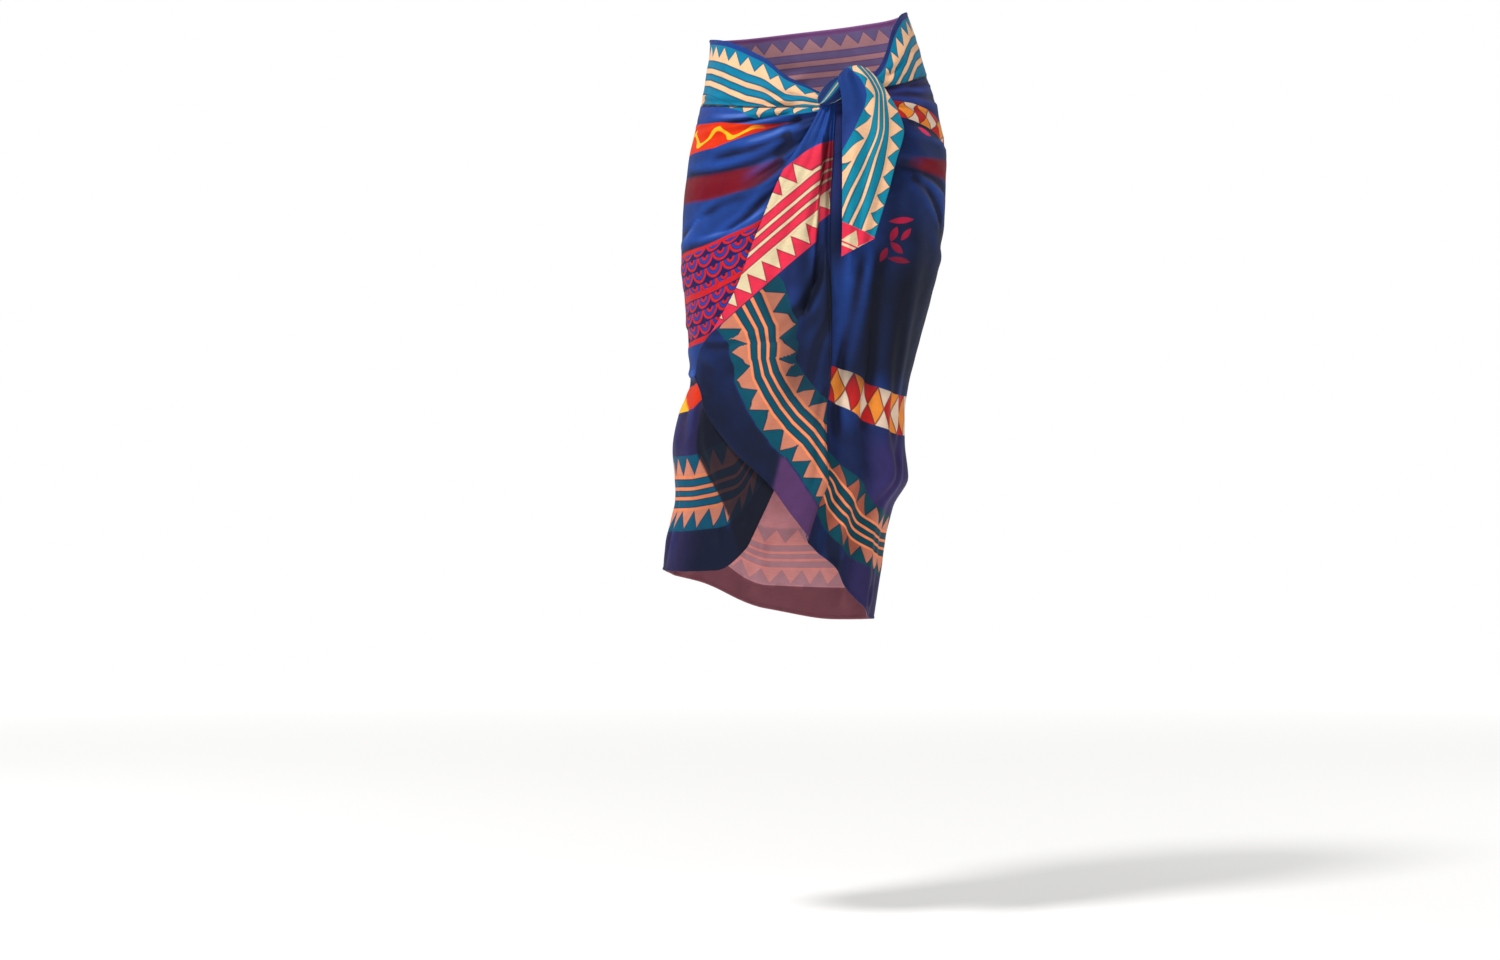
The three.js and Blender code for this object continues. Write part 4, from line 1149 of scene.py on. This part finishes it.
def drape():
    strip, roll_count, broad_count, drop_count = 10, 12, 104, 14
    run = spaced(190, 0.004)[:, None]
    run = 0.75 * run + 0.25 * run * run
    fold, fold_z, pleat_z, share_out = (column(DRAPE_ROWS, 1, k, run) for k in (2, 3, 5, 6))
    pleat = pleat_angle(pleat_z)
    width = pleat - fold
    top, under = DRAPE_OUT * share_out, TURN_OUT * share_out
    roll = (top - under) / 2
    degree = np.radians(column(FIGURE, 0, 2, fold_z))
    turned = np.minimum(TURN_WIDTH / degree, 0.45 * width)
    squeeze = np.minimum(1, 0.45 * width / FALL_WIDTH)
    s = np.linspace(1, 0, strip, endpoint=False)[None, :]
    t = np.pi * np.linspace(0, 1, roll_count)[None, :]
    b = np.linspace(0, 1, broad_count + 1)[None, 1:]
    drop = np.linspace(FALL_WIDTH, 0, drop_count + 1)[None, 1:]
    angle = np.concatenate([fold + turned * s, fold - roll * np.sin(t) / degree,
                            fold + (width - FALL_WIDTH * squeeze) * b, pleat - drop * squeeze], axis=1)
    level = np.concatenate([under + 0 * s, under + roll * (1 - np.cos(t)), top + 0 * b,
                            top + 0 * drop], axis=1)
    share = np.clip((angle - fold) / width, 0, None)
    z = blend(fold_z, pleat_z, share)
    face = np.arange(angle.shape[1]) >= strip + roll_count
    away = smooth(0, 0.12, share)
    rays = smooth(0.4, 0.05, run) * away
    creases = crease_relief(DRAPE_CREASES, angle, z)
    relief = fold_relief(DRAPE_FOLDS, share, run) * share_out + rays * 0.9 * gathers(share * 40, 33, 9)
    relief += away * (creases + swell(angle, z, 35, 0.8, 50, 0.3, 20))
    recess = smooth(104, 122, -z) * smooth(300, 250, -z)
    over = smooth(1.1, 1.9, angle) * recess
    # painted shade in the narrow fold beside the pleat, darkest in a line along its edge
    shade = np.maximum(over * np.interp(-z, *SHELF_SHADE), 0.7 * bell(angle - 1.5, 0.5) * recess)
    out = level + face * (relief - SHELF_DROP * smooth(0.6, 2.2, angle) * recess)
    out[:, -drop_count:] = blend(LEDGE_OUT, out[:, -drop_count:], curve(*FALL, drop))
    points = on_figure(angle, z, out)
    x = points[..., 0]
    across, along = strip_coordinates(x, z, DRAPE_BORDER)
    red, red_run = signed_to_path(x, z, RED_FOOT)
    lift = SHELF_LIFT * over
    red = (-red - lift) * BORDER / (BORDER - lift)
    margin = smooth(-1, -3, across) * smooth(320, 350, -z)
    royal = 0.7 - 0.6 * smooth(120, 250, -z)
    # painted shade in crease troughs and painted highlight on their lips
    royal = royal + 0.26 * np.clip(creases, *CREASE_SHADE_RANGE) * (1 - 0.8 * margin)
    single = smooth(-3, 4, x - np.interp(-z, (472, 528), (-36, -50))) * smooth(450, 480, -z)
    corner = smooth(0.55, 0.72, share) * smooth(225, 280, -z) * smooth(430, 380, -z)
    # painted shade in the lower corner, in the narrow fold and on the margin
    dark = corner * (0.75 - 0.3 * smooth(310, 350, -z)) + 0.3 * shade
    dark = np.clip(dark + 0.65 * margin * (1 - single) * smooth(360, 430, -z), 0, 0.95)
    return points, {
        "border": (across, along, 0), "red": (red, red_run, shade),
        "tone": (royal, 0.95 * margin * single, dark), "cloth": (angle * ARC, z, 0),
    }


def drape_material():
    ink = Ink("cloth_drape")
    _, plum, _ = ink.marks("tone")
    across, _, _ = ink.marks("border")
    red, _, shade = ink.marks("red")
    ground = ground_cloth(ink)
    colour = ink.paint(ground, PLUM, plum.share())
    colour = border(ink, colour, "border", TEAL_DRAPE, DRAPE_PEACH, DUSK_LINE, WIDE_PITCH, thick=LOW_THICK)
    # painted shade over the inner row of teeth
    colour = ink.paint(colour, PAINTED_SHADE, across.between(BORDER * 0.64, BORDER, 6) * 0.3)
    colour = ink.paint(colour, ground, (red + 1).cover())
    # painted shade in the narrow fold
    colour = ink.paint(colour, RECESS_SHADE, shade * 0.94)
    colour = border(ink, colour, "red", RED_GROUND, CREAM, CREAM, PITCH)
    # painted shade on the red border in the narrow fold
    colour = ink.paint(colour, SHADED_RED, red.between(0, BORDER) * shade)
    return finish_cloth(ink, colour)


def tail():
    v, u = shares(130, 44, 0.006, 0.012)
    step = np.linspace(0, 1, len(TAIL_ROWS))
    left_x, right_x, left_z, right_z, left_y, right_y, bow = (
        curve(step, [row[k] for row in TAIL_ROWS], v) for k in range(7))
    fade = ends(0, 0.12, u) * smooth(0.1, 0.3, v)
    folds = 2.6 * bell(u - 0.2, 0.1) - 2.2 * bell(u - 0.38 - 0.1 * v, 0.09)
    folds += 1.8 * bell(u - 0.62, 0.12) - 1.4 * bell(u - 0.82, 0.08)
    crest = 9 * bell(v - 0.2, 0.12) * (2 * u - 1) ** 2
    out = bow * np.sin(np.pi * u) + fade * (folds + 0.8 * ripple(u * 60, v * 220, 45, 40))
    x, z = blend(left_x, right_x, u), blend(left_z, right_z, u) - crest
    points = np.stack([x, blend(left_y, right_y, u) - out, z], axis=-1)
    lines = [column(TAIL_PRINT, 0, 1 + k, z) for k in range(len(TAIL_MARKS))]
    across = np.zeros_like(x)
    for k, (low, high) in enumerate(zip(lines[:-1], lines[1:])):
        t = (x - low) / (high - low)
        chosen = ((t >= 0) | (k == 0)) & ((t <= 1) | (k == len(TAIL_MARKS) - 2))
        across = np.where(chosen, blend(TAIL_MARKS[k], TAIL_MARKS[k + 1], t), across)
    corner, corner_run = signed_to_path(x, z, TAIL_CORNER)
    return points, {
        "border": (across, distance_down(points), 0), "red": (-corner, corner_run, 0),
        "tone": (0.7, 0.35 * smooth(-60, -150, z), 0.25 * smooth(88, 110, across)), "cloth": (x, z, 0),
    }


def tail_material():
    ink = Ink("cloth_tail")
    colour = border(ink, ground_cloth(ink), "border", TEAL_TAIL, PALE_PEACH, PALE_PEACH, TAIL_PITCH)
    corner, run, _ = ink.marks("red")
    below = corner.cover()
    colour = ink.paint(colour, RED_GROUND, below)
    colour = ink.paint(colour, CREAM, teeth(corner, run, PITCH, *TOOTH_RED).cover() * below)
    colour = ink.paint(colour, CREAM, corner.between(*RED_LINE))
    return finish_cloth(ink, colour)


def knot():
    t = np.linspace(0, 1, KNOT_RINGS + 1)[1:-1][:, None]
    roll = np.linspace(0, 2 * np.pi, KNOT_SIDES, endpoint=False)[None, :]
    phase = KNOT_STRANDS * roll / 2 + np.pi * KNOT_TURNS * t
    fine = 0.04 * np.sin(3 * phase + 5 * t)
    radius = np.sin(np.pi * t) ** 0.8 * (1 - KNOT_GROOVE * (1 - np.abs(np.sin(phase))) ** 2 + fine)
    outward = np.sin(roll) * np.where(np.sin(roll) < 0, KNOT_FLAT, 1)

    def capped(grid, end=0.0):
        """All the points of a grid, with one more before and one more after for the two tips."""
        return np.concatenate([[-end], grid.ravel(), [end]])

    along = capped(-np.cos(np.pi * t) * KNOT_LONG + 0 * roll, KNOT_LONG)
    across = capped(KNOT_ACROSS * radius * np.cos(roll))
    deep = capped(KNOT_DEEP * radius * outward)
    slant = np.radians(KNOT_SLANT)
    degree = np.radians(column(FIGURE, 0, 2, np.array([KNOT_Z]))[0] + KNOT_OUT)
    x = along * np.cos(slant) - across * np.sin(slant)
    z = along * np.sin(slant) + across * np.cos(slant)
    points = on_figure(KNOT_ANGLE + x / degree, KNOT_Z + z, KNOT_OUT + deep)
    at = 1 + np.arange((KNOT_RINGS - 1) * KNOT_SIDES).reshape(-1, KNOT_SIDES)
    after = np.roll(at, -1, axis=1)
    faces = np.stack([at[:-1], at[1:], after[1:], after[:-1]], axis=-1).reshape(-1, 4).tolist()
    faces += [(0, a, b) for a, b in zip(at[0].tolist(), after[0].tolist())]
    faces += [(a, len(points) - 1, b) for a, b in zip(at[-1].tolist(), after[-1].tolist())]
    marks = {"cloth": (along, across, 0), "tone": (0.4, 0.1, 0.2), "strand": (capped(phase), along, 0)}
    return mesh_piece("knot_cloth", points, faces, marks, knot_material())


def knot_material():
    ink = Ink("cloth_knot")
    turn, _, _ = ink.marks("strand")
    place = (turn / np.pi).part() - 0.5
    colour = ink.paint(ground_cloth(ink), TEAL_TAIL, place.between(-0.17, 0.17, 0.05))
    colour = ink.paint(colour, PALE_PEACH, place.between(-0.05, 0.02, 0.03))
    return finish_cloth(ink, colour)


# ---------------- assembly

def declare(piece, node):
    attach(piece, "root")
    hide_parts(node)


right_piece = cloth_piece("right_front_cloth", *right_front(), right_material(), ("top", "foot", "right"))
left_piece = cloth_piece("left_front_cloth", *left_front(), left_material(), ("top", "foot"))
back_piece = cloth_piece("back_cloth", *back(), back_material(), ("top", "foot"))
drape_piece = cloth_piece("front_drape_cloth", *drape(), drape_material(), ("foot",))
tail_piece = cloth_piece("border_tail_cloth", *tail(), tail_material(), ("right", "foot", "left"))
knot_piece = knot()

declare(right_piece, "right_front_wrap")
declare(left_piece, "left_front_wrap")
declare(back_piece, "back_wrap")
declare(drape_piece, "front_drape")
declare(tail_piece, "border_tail")
declare(knot_piece, "knot")

# ---------------- studio

FLOOR_Z = -1.038          # metres, as all lengths of the studio
FLOOR_RADIUS = 6.0
FLOOR_SIDES = 96
FLOOR_COLOUR = (250, 249, 247)
LAMP_AIM = np.array([0, 0, -0.3])
LAMPS = [  # name, place, size, power in watts
    ("key", (-1.4, -1.9, 2.2), 0.6, 92), ("fill", (2.6, -2.2, 0.3), 1.6, 9),
    ("low", (0.3, -2.4, -0.95), 0.8, 9), ("rim_left", (-2.2, 1.6, 0.8), 1.0, 10),
    ("rim_right", (2.2, 1.6, 0.8), 1.0, 10),
]
CAMERA_PLACE = (-0.073, -4.5, -0.507)
LENS = 91.53
AMBIENT = 0.26            # light from all round, where the camera itself sees the backdrop as 1
# The floor's glow, a painted light, grows from near to far, to meet the backdrop.
FLOOR_GLOW = {"From Min": 1.3, "From Max": 5.4, "To Min": 0.3, "To Max": 0.78}


def floor():
    turn = np.linspace(0, 2 * np.pi, FLOOR_SIDES, endpoint=False)
    rim = np.stack([FLOOR_RADIUS * np.cos(turn), FLOOR_RADIUS * np.sin(turn), FLOOR_Z + 0 * turn], axis=-1)
    mesh = bpy.data.meshes.new("studio_floor")
    mesh.from_pydata(rim.tolist(), [], [list(range(FLOOR_SIDES))])
    ink = Ink("floor_paint")
    place = ink.node("TexCoord").outputs["Object"]
    reach = ink.node("VectorMath", {0: place}, operation="LENGTH")
    glow = ink.node("MapRange", {"Value": reach.outputs["Value"], **FLOOR_GLOW})
    ink.feed(ink.shader, {
        "Base Color": linear(FLOOR_COLOUR), "Roughness": 0.9, "Emission Color": (1, 1, 1, 1),
        "Emission Strength": glow.outputs["Result"]})
    mesh.materials.append(ink.material)
    add("studio_floor", mesh)


def lamp(name, place, size, power):
    data = bpy.data.lights.new(name, "AREA")
    data.shape = "DISK"
    data.size = size
    data.energy = power
    aim = LAMP_AIM - place
    pitch = np.arctan2(np.hypot(aim[0], aim[1]), -aim[2])
    made = add(name, data)
    made.location = place
    made.rotation_euler = (pitch, 0, np.arctan2(aim[1], aim[0]) - np.pi / 2)


floor()
for row in LAMPS:
    lamp(*row)

world = bpy.data.worlds.new("studio")
world.use_nodes = True
backdrop = world.node_tree.nodes["Background"]
backdrop.inputs["Color"].default_value = (1, 1, 1, 1)
seen = world.node_tree.nodes.new("ShaderNodeLightPath")
level = world.node_tree.nodes.new("ShaderNodeMapRange")
level.inputs["To Min"].default_value = AMBIENT
level.inputs["To Max"].default_value = 1.0
world.node_tree.links.new(seen.outputs["Is Camera Ray"], level.inputs["Value"])
world.node_tree.links.new(level.outputs["Result"], backdrop.inputs["Strength"])
bpy.context.scene.world = world
bpy.context.scene.view_settings.view_transform = "Standard"

camera_data = bpy.data.cameras.new("photo_camera")
camera_data.lens = LENS
camera = add("photo_camera", camera_data)
camera.location = CAMERA_PLACE
camera.rotation_euler = (np.pi / 2, 0, 0)
bpy.context.scene.camera = camera
